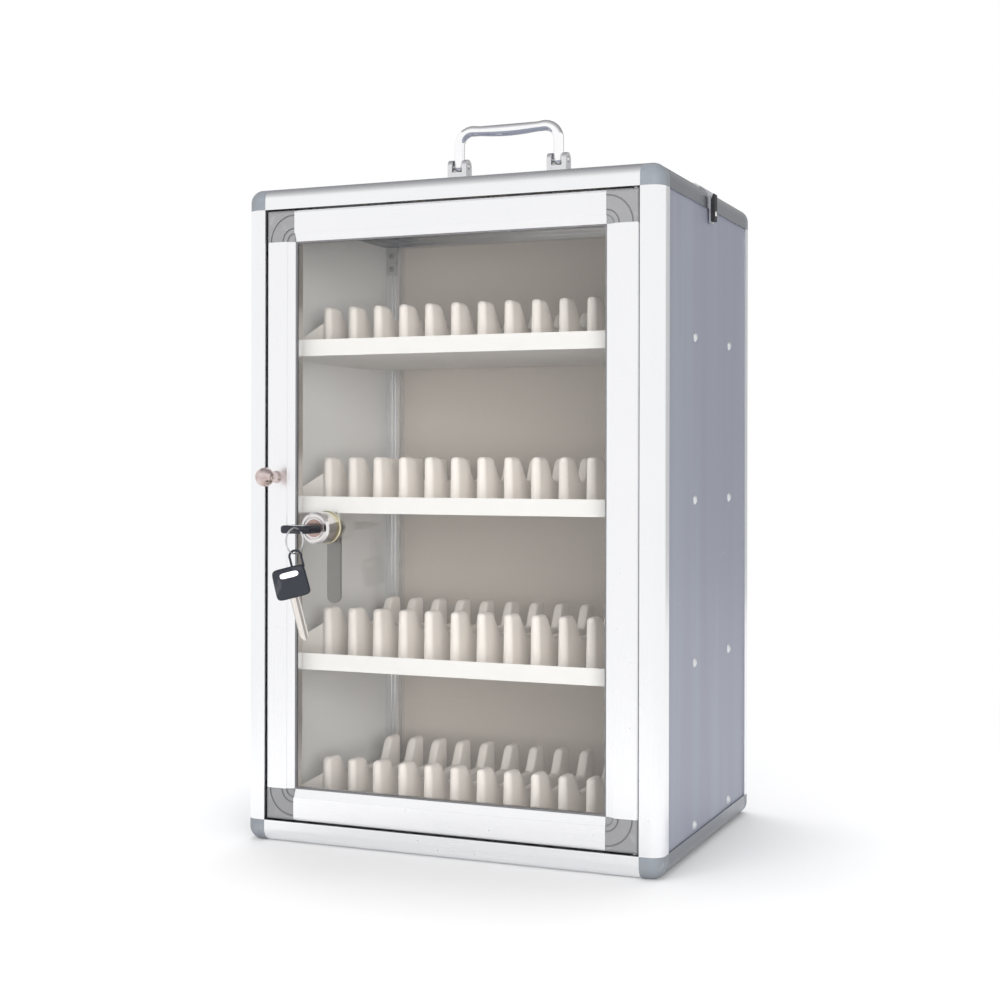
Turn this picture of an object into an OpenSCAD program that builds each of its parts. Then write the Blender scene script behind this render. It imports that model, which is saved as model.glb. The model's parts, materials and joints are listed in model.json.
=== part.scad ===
// Glazed phone cabinet: framed case with divider trays, a hinged glass door,
// a cam lock with two keys and a folding carrying handle.
// Millimetres, +Z up. The origin is the middle of the case on its resting plane;
// the front of the case faces -Y and its right side faces +X.

/* [Case] */
// Overall width of the case
case_w = 400; // [360:1:520]
// Overall depth of the case, front to back
case_d = 300; // [290:1:380]
// Overall height of the case
case_h = 600; // [590:1:700]

/* [Frame] */
// Side of the square frame bar
bar = 20; // [18:0.5:24]
// Radius of the bar's outer edge
bar_r = 12; // [8:0.5:14]
// Thickness of the sheet panels
sheet_t = 3; // [2:0.1:4]
// How far the panels lie inside the outer faces
sheet_in = 1.5; // [1:0.1:3]
// Depth of the groove that holds a panel
groove_d = 5; // [4:0.1:7]
// Width of the shallow ribs along the bar's inner faces
rib_w = 1.5; // [1:0.1:2]

/* [Trays] */
// Height of the lowest tray's lip above the resting plane
tray_low = 28; // [24:0.5:40]
// Height from one tray to the next
tray_pitch = 144.5; // [130:0.5:150]
// Distance from the case front to the tray's lip
tray_front = 21.5; // [21:0.1:26]
// Depth of a tray, front to back
tray_d = 228; // [222:1:250]
// Height of the tray's front and rear lips
lip_h = 15; // [10:0.5:20]
// Height of the tray's side flanges
flange_h = 21; // [18:0.5:26]
// Thickness of the tray sheet
tray_t = 1.5; // [1:0.1:2]
// Front rivet, from the tray's lip
rivet_front = 82; // [60:1:90]
// Spacing of the two rivets
rivet_gap = 118; // [80:1:130]
// Drop of the rivets below the lip's top edge
rivet_drop = 1; // [0:0.5:4]
// Radius of a rivet's shank
rivet_r = 2; // [1.5:0.1:2.5]
// Radius of a rivet's domed head
rivet_head_r = 4.5; // [4:0.1:6]
// Height of a rivet's domed head
rivet_head_h = 2.2; // [1.5:0.1:2.8]

/* [Dividers] */
// Number of dividers on a tray
fin_n = 13; // [7:1:15]
// Thickness of a divider at its foot
fin_t = 10; // [8:0.1:12]
// Distance from the side panel to the centre of the outermost divider
fin_side = 34.1; // [33.5:0.1:38]
// Thickness lost on each side towards the top
fin_draft = 0.8; // [0.2:0.1:1.5]
// Distance from the tray's lip to the dividers' noses
fin_back = 62.5; // [40:0.5:66]
// Length of a divider, nose to tail
fin_len = 157; // [150:1:160]
// Height of the two horns above the lip's top edge
horn_h = 36.5; // [30:0.5:42]
// Length of a horn's flat top
horn_l = 20; // [14:0.5:22]
// Height of the saddle between the horns above the lip's top edge
saddle_h = 14; // [8:0.5:20]
// Height of the end wing where it meets the first divider
wing_h = 22; // [16:0.5:26]
// Height of the end wing at its outer end
wing_low = 5; // [2:0.5:8]
// Thickness of the end wing
wing_t = 2.4; // [2:0.1:4]

/* [Door] */
// Gap between the door and the frame
door_gap = 1; // [0.8:0.1:1.5]
// How far the door lies behind the case front
door_in = 1; // [0.5:0.1:1.5]
// Thickness of the door
door_t = 18; // [17:0.1:18.5]
// Width of the door's frame profile
stile_w = 29; // [26:0.5:34]
// Width of the profile's flat front
flat_w = 21.5; // [20:0.5:22.5]
// Radius of the profile's outer front edge
door_edge_r = 3.5; // [3.2:0.1:3.6]
// Thickness of the glass
glass_t = 5; // [4:0.1:6]
// Depth of the glass behind the door's front
glass_in = 5; // [4.5:0.1:6]
// How far the glass goes into the profile
glass_bite = 6; // [4:0.1:7]
// Width of the dark sealing strip along the glass
seal_w = 1.6; // [1:0.1:2.5]
// Radius of the hinge pins
pin_r = 2; // [1.6:0.1:2]
// Length of a hinge pin inside the door
pin_door_l = 9; // [7:0.5:14]
// Length of a hinge pin inside the frame
pin_frame_l = 7.5; // [5:0.5:9]
// Thickness of the washer on a hinge pin
washer_t = 0.7; // [0.4:0.1:0.7]
// Outer radius of the washer on a hinge pin
washer_r = 4.3; // [3.4:0.1:4.4]
// Radius of the outer arc pressed into the door's corner pieces
arc_r = 24.5; // [22:0.5:25]

/* [Knob] */
// Height of the knob above the resting plane
knob_z = 335; // [320:1:420]
// Radius of the knob's ball
knob_r = 8.8; // [7:0.1:9]
// Distance from the door to the centre of the ball
knob_out = 21; // [19:0.5:28]
// Distance from the stile's outer edge to the knob's axis
knob_in = 11; // [9:0.5:18]

/* [Lock] */
// Distance from the glass edge of the frame profile to the lock's axis
lock_in = 32; // [28:0.5:38]
// Height of the lock above the resting plane
lock_z = 289.5; // [285:0.5:291]
// Radius of the lock's body
lock_r = 14.3; // [12:0.1:14.5]
// How far the lock stands out of the glass
lock_out = 25; // [20:0.5:26]
// Radius of the threaded part that passes through the glass
barrel_r = 10; // [9.5:0.1:11]
// Radius of the turning plug
plug_r = 8; // [7:0.1:8.2]
// Reach of the cam from the lock's axis
cam_len = 70; // [66:0.5:71]
// Width of the cam
cam_w = 14; // [10:0.5:16]
// Thickness of the cam
cam_t = 2; // [1.5:0.1:2.2]

/* [Keys] */
// Width of a key's blade
blade_w = 8; // [6:0.1:9]
// Thickness of a key's blade
blade_t = 2.2; // [1.8:0.1:2.4]
// Length of a key's blade
blade_l = 38; // [32:0.5:40]
// Length of the blade that stays outside the lock
blade_out = 10; // [6:0.5:12]
// Width of a key's plastic bow
bow_w = 30; // [28:0.5:34]
// Length of a key's plastic bow
bow_l = 27; // [24:0.5:30]
// Thickness of a key's plastic bow
bow_t = 7; // [5:0.5:8]
// Sideways offset of the eyelet on the bow
eye_off = 9; // [7:0.5:9]
// Distance from the bow's end to the eyelet's hole
eye_gap = 3; // [2.5:0.1:4]
// Width of the eyelet's hole
eye_w = 8; // [7.6:0.1:8]
// Length of the eyelet's hole
eye_l = 9; // [8.8:0.1:10]
// Material left around the eyelet's hole
eye_rim = 2; // [1.8:0.1:2]
// Thickness of the eyelet
eye_t = 2; // [1.6:0.1:2]
// Radius of the key ring's centre line
ring_r = 11; // [10.6:0.1:11.4]
// Radius of the key ring's wire
wire_r = 0.8; // [0.6:0.05:0.85]
// Turn of the key ring about the vertical
ring_yaw = 12; // [0:1:12]
// Turn of the hanging key about the vertical
spare_yaw = 30; // [20:1:35]

/* [Handle] */
// Distance between the handle's two legs
leg_gap = 103; // [90:1:140]
// Height of the handle's pivots above the case
pivot_h = 36; // [33:0.5:44]
// Height of the handle above its pivots
bail_h = 34; // [28:0.5:50]
// Radius of the handle's legs
leg_r = 5; // [4:0.1:5.5]
// Radius of the grip in its middle
grip_r = 5.7; // [5.5:0.1:7]
// Radius of the grip at its ends
grip_end_r = 4.4; // [3.6:0.1:5]
// Radius of the handle's bends
bend_r = 14; // [10:0.5:16]
// Radius of the handle's pivot pins
bail_pin_r = 2; // [1.5:0.1:2.5]
// Thickness of a bracket's ear
ear_t = 4.6; // [3:0.1:6]
// Radius of a bracket's round foot
foot_r = 19; // [17:0.5:24]

/* [Side fittings] */
// Width of the plate bent over each side's top edge
plate_w = 56; // [40:1:70]
// Width of the plate's flap down the side
flap_w = 12; // [12:1:30]
// Thickness of the plate bent over each side's top edge
plate_t = 1.4; // [1:0.1:2]
// Height of the black pad on the plate
pad_h = 25; // [20:1:30]
// Width of the black pad on the plate
pad_w = 9; // [8:0.5:12]
// How far the black pad stands out
pad_out = 3.4; // [3:0.1:6]

/* [Hidden] */
$fn = 64;

// Assembly clearance of a part held in a groove or pocket
fit = 0.1;
// Running clearance of a pin or plug in its bore
run = 0.05;
// Clearance between pieces that move past each other
free = 0.3;
// Overlap of a cutting body past the face it cuts
cut = 1;

front = -case_d / 2;
rear = case_d / 2;
half_w = case_w / 2;
inner_x = half_w - sheet_in - sheet_t;      // inner face of the side panels
inner_y = rear - sheet_in - sheet_t;        // inner face of the back panel
notch = groove_d + fit;

// door outline, measured in the front view
door_x = half_w - bar - door_gap;           // half width
door_z0 = bar + door_gap;
door_z1 = case_h - bar - door_gap;
door_h = door_z1 - door_z0;
door_y = front + door_in;                   // front face of the door
open_x = door_x - stile_w;                  // half width of the glazed opening
hinge_x = door_x - door_edge_r;
hinge_y = door_y + door_edge_r;
glass_y = door_y + glass_in;

lock_x = -open_x + lock_in;
plug_front = glass_y - lock_out - 0.4;
nut_t = 4;                                  // thickness of the lock's nut
screw_r = 2;                                // radius of the knob's screw
screw_in = 8;                               // length of that screw inside the knob
barrel_end = glass_y + glass_t + nut_t + 2;
cam_y = front + bar + free;                 // front face of the cam
cam_hub = 7;                                // side of the square that drives the cam
shoulder_y = glass_y - lock_out - blade_out;

tray_y0 = front + tray_front;
tray_y1 = tray_y0 + tray_d;
fin_y0 = tray_y0 + fin_back;
fin_x0 = -inner_x + fin_side;               // centre of the first divider
fin_pitch = -2 * fin_x0 / (fin_n - 1);      // distance between two dividers
horn_ease = 12;                             // rounding where a horn meets the saddle

bracket_w = 12;                             // small plates on the rear posts
bracket_t = 1.5;
bracket_h = 28;

pivot_z = case_h + pivot_h;
ear_r = 6.8;
leg_slot = 2 * leg_r + 2 * free;
ear_floor = pivot_z - leg_r - 1;

function lip_z(k) = tray_low + (k - 1) * tray_pitch;
function unit(v) = v / norm(v);

// A polygon's points with each corner rounded by the setback listed for it
function soft(pts, r, n = 4) = let (m = len(pts)) [
    for (i = [0 : m - 1])
        let (p = pts[i], a = unit(pts[(i + m - 1) % m] - p), b = unit(pts[(i + 1) % m] - p))
        for (k = [0 : (r[i] > 0 ? n : 0)])
            let (t = k / n)
            (1 - t) * (1 - t) * (p + a * r[i]) + 2 * t * (1 - t) * p + t * t * (p + b * r[i])
];

// ---------- frame ----------

// Section of the frame bar. Its outer corner is at 0,0. groove_a holds the panel that
// stands along +Y of the section, groove_b the one along +X.
module bar_section(groove_a, groove_b) {
    difference() {
        union() {
            translate([bar_r, 0]) square([bar - bar_r, bar]);
            translate([0, bar_r]) square([bar, bar - bar_r]);
            translate([bar_r, bar_r]) intersection() {
                circle(bar_r);
                translate([-bar_r, -bar_r]) square(bar_r + fit);
            }
        }
        if (groove_a) translate([sheet_in - fit, bar - notch])
            square([sheet_t + 2 * fit, notch + cut]);
        if (groove_b) translate([bar - notch, sheet_in - fit])
            square([notch + cut, sheet_t + 2 * fit]);
        for (p = [bar - 8.5, bar - 4.5]) {
            if (groove_a) translate([p, bar - 1]) square([rib_w, 1 + cut]);
            if (groove_b) translate([bar - 1, p]) square([1 + cut, rib_w]);
        }
    }
}

// Upright bar in the corner sx, sy (-1 or 1)
module post(sx, sy) {
    color("gainsboro") translate([sx * half_w, sy * rear, bar])
        scale([-sx, 1, 1]) scale([1, -sy, 1])
            linear_extrude(case_h - 2 * bar) bar_section(true, sy > 0);
}

// Bar along X at the front or rear (sy) and at the bottom or top (sz)
module rail_x(sy, sz) {
    translate([-half_w + bar, sy * rear, sz > 0 ? case_h : 0])
        scale([1, -sy, 1]) scale([1, 1, -sz]) rotate([90, 0, 90])
            linear_extrude(case_w - 2 * bar) bar_section(sy > 0, true);
}

// Bar along Y at the left or right (sx) and at the bottom or top (sz)
module rail_y(sx, sz) {
    color("gainsboro") translate([sx * half_w, rear - bar, sz > 0 ? case_h : 0])
        scale([-sx, 1, 1]) scale([1, 1, -sz]) rotate([90, 0, 0])
            linear_extrude(case_d - 2 * bar) bar_section(true, true);
}

// Corner block with a ball-shaped outer corner at 0,0,0
module ball_corner() {
    w = bar - bar_r;
    intersection() {
        cube(bar);
        translate([bar_r, bar_r, bar_r]) {
            sphere(bar_r);
            cylinder(r = bar_r, h = w);
            rotate([0, 90, 0]) cylinder(r = bar_r, h = w);
            rotate([-90, 0, 0]) cylinder(r = bar_r, h = w);
            translate([0, 0, -bar_r]) cube([w, w, bar]);
            translate([-bar_r, 0, 0]) cube([bar, w, w]);
            translate([0, -bar_r, 0]) cube([w, bar, w]);
        }
    }
}

module corner_caps(sz) {
    color("darkgray") for (sx = [-1, 1], sy = [-1, 1])
        translate([sx * half_w, sy * rear, sz > 0 ? case_h : 0])
            scale([-sx, 1, 1]) scale([1, -sy, 1]) scale([1, 1, -sz]) ball_corner();
}

// Sheet with its four corners notched round the corner blocks, in the XY plane
module notched_sheet(w, h) {
    linear_extrude(sheet_t) {
        translate([notch, 0]) square([w - 2 * notch, h]);
        translate([0, notch]) square([w, h - 2 * notch]);
    }
}

sheet_w = case_w - 2 * (bar - groove_d);
sheet_d = case_d - 2 * (bar - groove_d);
sheet_h = case_h - 2 * (bar - groove_d);

// Places its children at every rivet of one side
module at_rivets(sx) {
    for (k = [1 : 4], y = [rivet_front, rivet_front + rivet_gap])
        translate([sx * inner_x, tray_y0 + y, lip_z(k) - rivet_drop])
            rotate([0, sx * 90, 0]) children();
}

module side_panel(sx) {
    color("slategray") difference() {
        translate([sx > 0 ? inner_x : -inner_x - sheet_t, 0, 0])
            translate([0, -sheet_d / 2, bar - groove_d]) rotate([90, 0, 90])
                notched_sheet(sheet_d, sheet_h);
        at_rivets(sx) translate([0, 0, -cut]) cylinder(r = rivet_r + run, h = sheet_t + 2 * cut);
    }
}

module back_panel() {
    color("gray") translate([-sheet_w / 2, inner_y + sheet_t, bar - groove_d])
        rotate([90, 0, 0]) notched_sheet(sheet_w, sheet_h);
}

module flat_panel(z) {
    color("gray") translate([-sheet_w / 2, -sheet_d / 2, z]) notched_sheet(sheet_w, sheet_d);
}

module top_panel() { flat_panel(case_h - sheet_in - sheet_t); }
module bottom_panel() { flat_panel(sheet_in); }

// ---------- trays and dividers ----------

// Height of the step by which the lowest tray clears the bottom side rails
function step_h(k) = max(0, bar + free - (lip_z(k) - lip_h));

// Room taken by the bottom side rails, grown by a clearance
module rail_room(k, clear) {
    x0 = half_w - bar - clear;
    for (sx = [-1, 1]) translate([sx > 0 ? x0 : -inner_x - cut, tray_y0 - cut, lip_z(k) - lip_h - cut])
        cube([inner_x + cut - x0, tray_d + 2 * cut, step_h(k) - free + clear + cut]);
}

module tray(k) {
    z = lip_z(k) - lip_h;
    step_x = half_w - bar - free;
    color("white") difference() {
        union() {
            translate([-inner_x, tray_y0, z]) {
                cube([2 * inner_x, tray_d, tray_t]);
                cube([2 * inner_x, tray_t, lip_h]);
                translate([0, tray_d - tray_t, 0]) cube([2 * inner_x, tray_t, lip_h]);
                for (x = [0, 2 * inner_x - tray_t]) translate([x, 0, 0])
                    cube([tray_t, tray_d, flange_h]);
            }
            if (step_h(k) > 0) for (sx = [-1, 1])
                scale([sx, 1, 1]) translate([step_x - tray_t, tray_y0, z]) {
                    cube([tray_t, tray_d, step_h(k) + tray_t]);
                    translate([0, 0, step_h(k)]) cube([inner_x - step_x + tray_t, tray_d, tray_t]);
                }
        }
        for (sx = [-1, 1]) at_rivets(sx)
            translate([0, 0, -tray_t - cut]) cylinder(r = rivet_r + run, h = tray_t + 2 * cut);
        if (step_h(k) > 0) rail_room(k, free);
    }
}

// Cap of a ball, with foot radius r and height h
module dome(r, h) {
    ball = (r * r + h * h) / (2 * h);
    intersection() {
        translate([0, 0, h - ball]) sphere(ball);
        cylinder(r = r + cut, h = h + cut);
    }
}

module tray_rivets() {
    color("silver") for (sx = [-1, 1]) at_rivets(sx) {
        inner_h = rivet_head_h / 2;
        translate([0, 0, -tray_t - inner_h]) cylinder(r = rivet_r, h = tray_t + sheet_t + inner_h);
        translate([0, 0, sheet_t]) dome(rivet_head_r, rivet_head_h);
        translate([0, 0, -tray_t]) mirror([0, 0, 1]) dome(rivet_head_r - 1, inner_h);
    }
}

// One divider, standing on the tray at z = 0 with its nose at y = 0
module fin(foot) {
    top = foot + horn_h;
    mid = foot + saddle_h;
    slope = 23;
    tail = fin_len - horn_l;
    side = soft([[0, 0], [0, top], [horn_l, top], [horn_l + slope, mid], [tail - slope / 2, mid],
                 [tail, top - 2], [fin_len, top], [fin_len, 0]],
                [0, 5, 4, horn_ease, horn_ease * 2 / 3, 4, 3, 0], 4);
    h = fin_t / 2;
    plan = soft([[-h, 0], [h, 0], [h, fin_len], [-h, fin_len]], [4.2, 4.2, 1.5, 1.5], 4);
    tall = soft([[-h, 0], [h, 0], [h - fin_draft, top], [fin_draft - h, top]], [0, 0, 2.6, 2.6], 4);
    intersection() {
        translate([-h, 0, 0]) rotate([90, 0, 90]) linear_extrude(fin_t) polygon(side);
        linear_extrude(top) polygon(plan);
        translate([0, fin_len, 0]) rotate([90, 0, 0]) linear_extrude(fin_len) polygon(tall);
    }
}

// Web from the first divider down to the tray's side flange
module wing(foot) {
    x1 = -fin_x0 + fin_t / 2 - fin_draft * wing_h / horn_h - 1;
    x2 = inner_x - tray_t - free;
    translate([0, wing_t + 3, 0]) rotate([90, 0, 0]) linear_extrude(wing_t)
        polygon([[x1, 0], [x2, 0], [x2, foot + wing_low], [x1, foot + wing_h]]);
}

module dividers(k) {
    foot = lip_h - tray_t;
    color("linen") {
        translate([0, fin_y0, lip_z(k) - foot])
            for (i = [0 : fin_n - 1]) translate([fin_x0 + i * fin_pitch, 0, 0]) fin(foot);
        difference() {
            for (sx = [-1, 1]) scale([sx, 1, 1]) translate([0, fin_y0, lip_z(k) - foot]) wing(foot);
            if (step_h(k) > 0) rail_room(k, tray_t + 2 * free);
        }
    }
}

// Small plates with two screws each, high on the rear posts
module rear_brackets() {
    mid_x = inner_x - 1 - bracket_w / 2;
    mid_z = case_h - bar - 2 - bracket_h / 2;
    color("silver") for (sx = [-1, 1])
        translate([sx * mid_x, rear - bar, mid_z]) {
            translate([-bracket_w / 2, -bracket_t, -bracket_h / 2]) cube([bracket_w, bracket_t, bracket_h]);
            for (z = [-bracket_h / 4, bracket_h / 4])
                translate([0, -bracket_t, z]) rotate([90, 0, 0]) dome(bracket_w / 5, bracket_w / 10);
        }
}

// ---------- handle ----------

module handle_bracket(sx) {
    neck_r = leg_slot / 2 + ear_t;
    base_z = case_h - sheet_in;
    foot_t = 3;
    rise = ear_floor - 2 - base_z - foot_t;
    steps = 10;
    color("silver") translate([sx * leg_gap / 2, 0, 0]) difference() {
        union() {
            translate([0, 0, base_z]) rotate_extrude() polygon(concat(
                [[0, 0], [foot_r, 0]],
                [for (i = [0 : steps]) let (t = i / steps)
                    [neck_r - 1 + (foot_r - neck_r + 1) * pow(1 - t, 2.2), foot_t + rise * t]],
                [[0, foot_t + rise]]));
            translate([-neck_r, -ear_r, base_z + foot_t + rise - 4])
                cube([2 * neck_r, 2 * ear_r, pivot_z - (base_z + foot_t + rise - 4)]);
            translate([-neck_r, 0, pivot_z]) rotate([0, 90, 0]) cylinder(r = ear_r, h = 2 * neck_r);
        }
        translate([-leg_slot / 2, -ear_r - cut, ear_floor]) cube([leg_slot, 2 * (ear_r + cut), 4 * ear_r]);
        translate([-neck_r - cut, 0, pivot_z]) rotate([0, 90, 0])
            cylinder(r = bail_pin_r + run, h = 2 * (neck_r + cut));
    }
}

module handle_pins() {
    l = leg_slot / 2 + ear_t;
    color("silver") for (sx = [-1, 1]) translate([sx * leg_gap / 2, 0, pivot_z]) rotate([0, 90, 0]) {
        translate([0, 0, -l]) cylinder(r = bail_pin_r, h = 2 * l);
        translate([0, 0, l]) dome(bail_pin_r + 1.2, 1.2);
        translate([0, 0, -l]) mirror([0, 0, 1]) dome(bail_pin_r + 1.2, 1.2);
    }
}

module handle_bail() {
    half = leg_gap / 2;
    top = pivot_z + bail_h;
    grip = half - bend_r;
    steps = 12;
    color("gainsboro") difference() {
        union() {
            for (sx = [-1, 1]) {
                translate([sx * half, 0, pivot_z]) cylinder(r = leg_r, h = bail_h - bend_r);
                translate([sx * half, 0, pivot_z]) sphere(leg_r);
                translate([sx * grip, 0, top - bend_r]) rotate([90, 0, sx > 0 ? 0 : 180])
                    rotate_extrude(angle = 90) translate([bend_r, 0]) circle(leg_r);
            }
            translate([-grip, 0, top]) rotate([0, 90, 0]) rotate_extrude() polygon(concat(
                [[0, 0]],
                [for (i = [0 : steps]) let (t = i / steps)
                    [i == 0 || i == steps ? leg_r : grip_end_r + (grip_r - grip_end_r) * sin(180 * t),
                     2 * grip * t]],
                [[0, 2 * grip]]));
        }
        for (sx = [-1, 1]) translate([sx * half - leg_r - cut, 0, pivot_z]) rotate([0, 90, 0])
            cylinder(r = bail_pin_r + run, h = 2 * (leg_r + cut));
    }
}

// ---------- side fittings ----------

// Quarter ring of the plate's thickness round the frame's outer edge, up to the angle a
module edge_bend(a) {
    s = 3 * bar_r;
    difference() {
        circle(bar_r + plate_t);
        circle(bar_r);
        rotate(a) translate([-s, -s]) square([2 * s, s]);
        translate([-s, -s]) square([s, 2 * s]);
    }
}

// Plate bent over the rounded top edge of each side, with a narrower flap down the side
module edge_plates() {
    leg = 14;
    drop = bar - bar_r + pad_h / 2;
    color("silver") for (sx = [-1, 1]) scale([sx, 1, 1])
        translate([half_w - bar_r, 0, case_h - bar_r]) rotate([90, 0, 0]) {
            linear_extrude(plate_w, center = true) {
                edge_bend(45);
                translate([-leg, bar_r]) square([leg, plate_t]);
            }
            linear_extrude(flap_w, center = true) {
                edge_bend(0);
                translate([bar_r, -drop]) square([plate_t, drop]);
            }
        }
}

// Black pad with a domed screw, on the outside of each plate
module edge_pads() {
    top = case_h - bar_r / 2;
    edge = pad_out / 4;
    color("black") for (sx = [-1, 1]) scale([sx, 1, 1]) {
        translate([half_w + plate_t, pad_w / 2, 0]) rotate([90, 0, 0]) linear_extrude(pad_w)
            polygon(soft([[0, case_h - bar_r], [0, top - pad_h], [pad_out, top - pad_h], [pad_out, top],
                          [pad_out / 2, top]], [0, edge, edge, edge, 0]));
        translate([half_w + plate_t + pad_out, 0, top - pad_h + 7]) rotate([0, 90, 0]) dome(2.6, 1.3);
    }
}

// ---------- door ----------

// Section of the door profile: x from the outer edge inwards, y from the front back
module door_section() {
    y0 = glass_in - fit;
    y1 = glass_in + glass_t + fit;
    difference() {
        polygon([[0, 0], [flat_w, 0], [flat_w, 1], [stile_w, 2.6], [stile_w, y0],
                 [stile_w - glass_bite - fit, y0], [stile_w - glass_bite - fit, y1],
                 [stile_w, y1], [stile_w, door_t], [0, door_t]]);
        translate([-cut, -cut]) square(door_edge_r + cut);
    }
    translate([door_edge_r, door_edge_r]) circle(door_edge_r);
}

// Outline of a corner piece in the same view
module block_section() {
    difference() {
        square([stile_w, door_t]);
        translate([-cut, -cut]) square(door_edge_r + cut);
    }
    translate([door_edge_r, door_edge_r]) circle(door_edge_r);
}

// Upright of the door frame, between two corner pieces
module door_stile(sx) {
    translate([sx * door_x, door_y, door_z0 + stile_w]) scale([-sx, 1, 1])
        linear_extrude(door_h - 2 * stile_w) door_section();
}

module door_stile_left() {
    color("whitesmoke") difference() {
        door_stile(-1);
        translate([-door_x + knob_in, door_y - cut, knob_z]) rotate([-90, 0, 0])
            cylinder(r = screw_r + run, h = door_t + 2 * cut);
    }
}

module door_rail(sz) {
    color("whitesmoke") translate([-open_x, door_y, sz > 0 ? door_z1 : door_z0]) scale([1, 1, -sz])
        rotate([90, 0, 90]) rotate([0, 0, 90]) scale([1, -1, 1]) linear_extrude(2 * open_x) door_section();
}

// Corner piece with rounded outer edges, two pressed quarter arcs and a quarter disc
module door_corner(sx, sz) {
    arc_w = 1.3;
    arc_d = 0.8;
    mid_r = arc_r / 2;
    disc_r = 0.3 * arc_r;
    color("darkgray") difference() {
        translate([sx * door_x, door_y, sz > 0 ? door_z1 : door_z0]) scale([-sx, 1, 1]) scale([1, 1, -sz])
            difference() {
                intersection() {
                    linear_extrude(stile_w) block_section();
                    rotate([90, 0, 90]) rotate([0, 0, 90]) scale([1, -1, 1])
                        linear_extrude(stile_w) block_section();
                }
                translate([stile_w - glass_bite - fit, glass_in - fit, stile_w - glass_bite - fit])
                    cube([2 * glass_bite, glass_t + 2 * fit, 2 * glass_bite]);
                translate([stile_w, -cut, stile_w]) rotate([-90, 0, 0]) {
                    for (r = [arc_r, mid_r]) difference() {
                        cylinder(r = r, h = arc_d + cut);
                        translate([0, 0, -cut]) cylinder(r = r - arc_w, h = arc_d + 3 * cut);
                    }
                    cylinder(r = disc_r, h = arc_d + cut);
                }
            }
        if (sx > 0) translate([hinge_x, hinge_y, sz > 0 ? door_z1 - pin_door_l - free : door_z0 - cut])
            cylinder(r = pin_r + run, h = pin_door_l + free + cut);
    }
}

module hinge_pins() {
    l = pin_door_l + door_gap + pin_frame_l;
    color("silver") {
        translate([hinge_x, hinge_y, bar - pin_frame_l]) cylinder(r = pin_r, h = l);
        translate([hinge_x, hinge_y, case_h - bar + pin_frame_l - l]) cylinder(r = pin_r, h = l);
    }
}

module hinge_washers() {
    color("black") for (z = [bar, case_h - bar - washer_t]) translate([hinge_x, hinge_y, z]) difference() {
        cylinder(r = washer_r, h = washer_t);
        translate([0, 0, -cut]) cylinder(r = pin_r + run, h = washer_t + 2 * cut);
    }
}

// Blind bore for a hinge pin in the front rail, seen from the door
module rail_front(sz) {
    color("gainsboro") difference() {
        rail_x(-1, sz);
        translate([hinge_x, hinge_y, sz > 0 ? case_h - bar - cut : bar - pin_frame_l - fit])
            cylinder(r = pin_r + run, h = pin_frame_l + fit + cut);
    }
}

module door_glass() {
    w = open_x + glass_bite;
    color("lightcyan", 0.35) difference() {
        translate([-w, glass_y, door_z0 + stile_w - glass_bite])
            cube([2 * w, glass_t, door_h - 2 * (stile_w - glass_bite)]);
        translate([lock_x, glass_y - cut, lock_z]) rotate([-90, 0, 0])
            cylinder(r = barrel_r + run, h = glass_t + 2 * cut);
    }
}

module glass_seal() {
    h = door_h - 2 * stile_w;
    color("black") translate([-open_x, glass_y - 2, door_z0 + stile_w]) difference() {
        cube([2 * open_x, 2, h]);
        translate([seal_w, -cut, seal_w]) cube([2 * (open_x - seal_w), 2 + 2 * cut, h - 2 * seal_w]);
    }
}

// ---------- knob ----------

module door_knob() {
    stem = knob_r / 2;
    base = 0.65 * knob_r;
    color("rosybrown") translate([-door_x + knob_in, door_y, knob_z]) rotate([90, 0, 0]) difference() {
        union() {
            cylinder(r = base, h = 1.5);
            cylinder(r = stem, h = knob_out);
            translate([0, 0, 1.5]) cylinder(r1 = base, r2 = stem, h = 3);
            translate([0, 0, knob_out]) sphere(knob_r);
        }
        translate([0, 0, -cut]) cylinder(r = screw_r + run, h = screw_in + cut);
    }
}

module knob_screw() {
    color("silver") translate([-door_x + knob_in, door_y + door_t, knob_z]) rotate([90, 0, 0]) {
        cylinder(r = screw_r, h = door_t + screw_in - fit);
        mirror([0, 0, 1]) dome(2 * screw_r, 0.8 * screw_r);
    }
}

// ---------- lock ----------

module lock_body() {
    face = lock_out;
    color("silver") translate([lock_x, glass_y, lock_z]) rotate([90, 0, 0]) difference() {
        rotate_extrude() polygon([[0, 0], [lock_r + 0.7, 0], [lock_r + 0.7, 2.4], [lock_r, 3.2],
                                  [lock_r, face - 2.5], [lock_r - 1.8, face], [0, face]]);
        translate([0, 0, -cut]) cylinder(r = plug_r + run, h = face + 2 * cut);
        translate([0, 0, face - 0.8]) difference() {
            cylinder(r = lock_r - 3.4, h = 0.8 + cut);
            translate([0, 0, -cut]) cylinder(r = plug_r + 1.2, h = 3 * cut);
        }
    }
    color("silver") translate([lock_x, glass_y, lock_z]) rotate([-90, 0, 0]) difference() {
        cylinder(r = barrel_r, h = barrel_end - glass_y);
        translate([0, 0, -cut]) cylinder(r = plug_r + run, h = barrel_end - glass_y + 2 * cut);
    }
}

module lock_nut() {
    flat_r = barrel_r + 3.4;
    color("silver") translate([lock_x, glass_y + glass_t, lock_z]) rotate([-90, 0, 0]) difference() {
        cylinder(r = flat_r / cos(30), h = nut_t, $fn = 6);
        translate([0, 0, -cut]) cylinder(r = barrel_r + run, h = nut_t + 2 * cut);
    }
}

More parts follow.
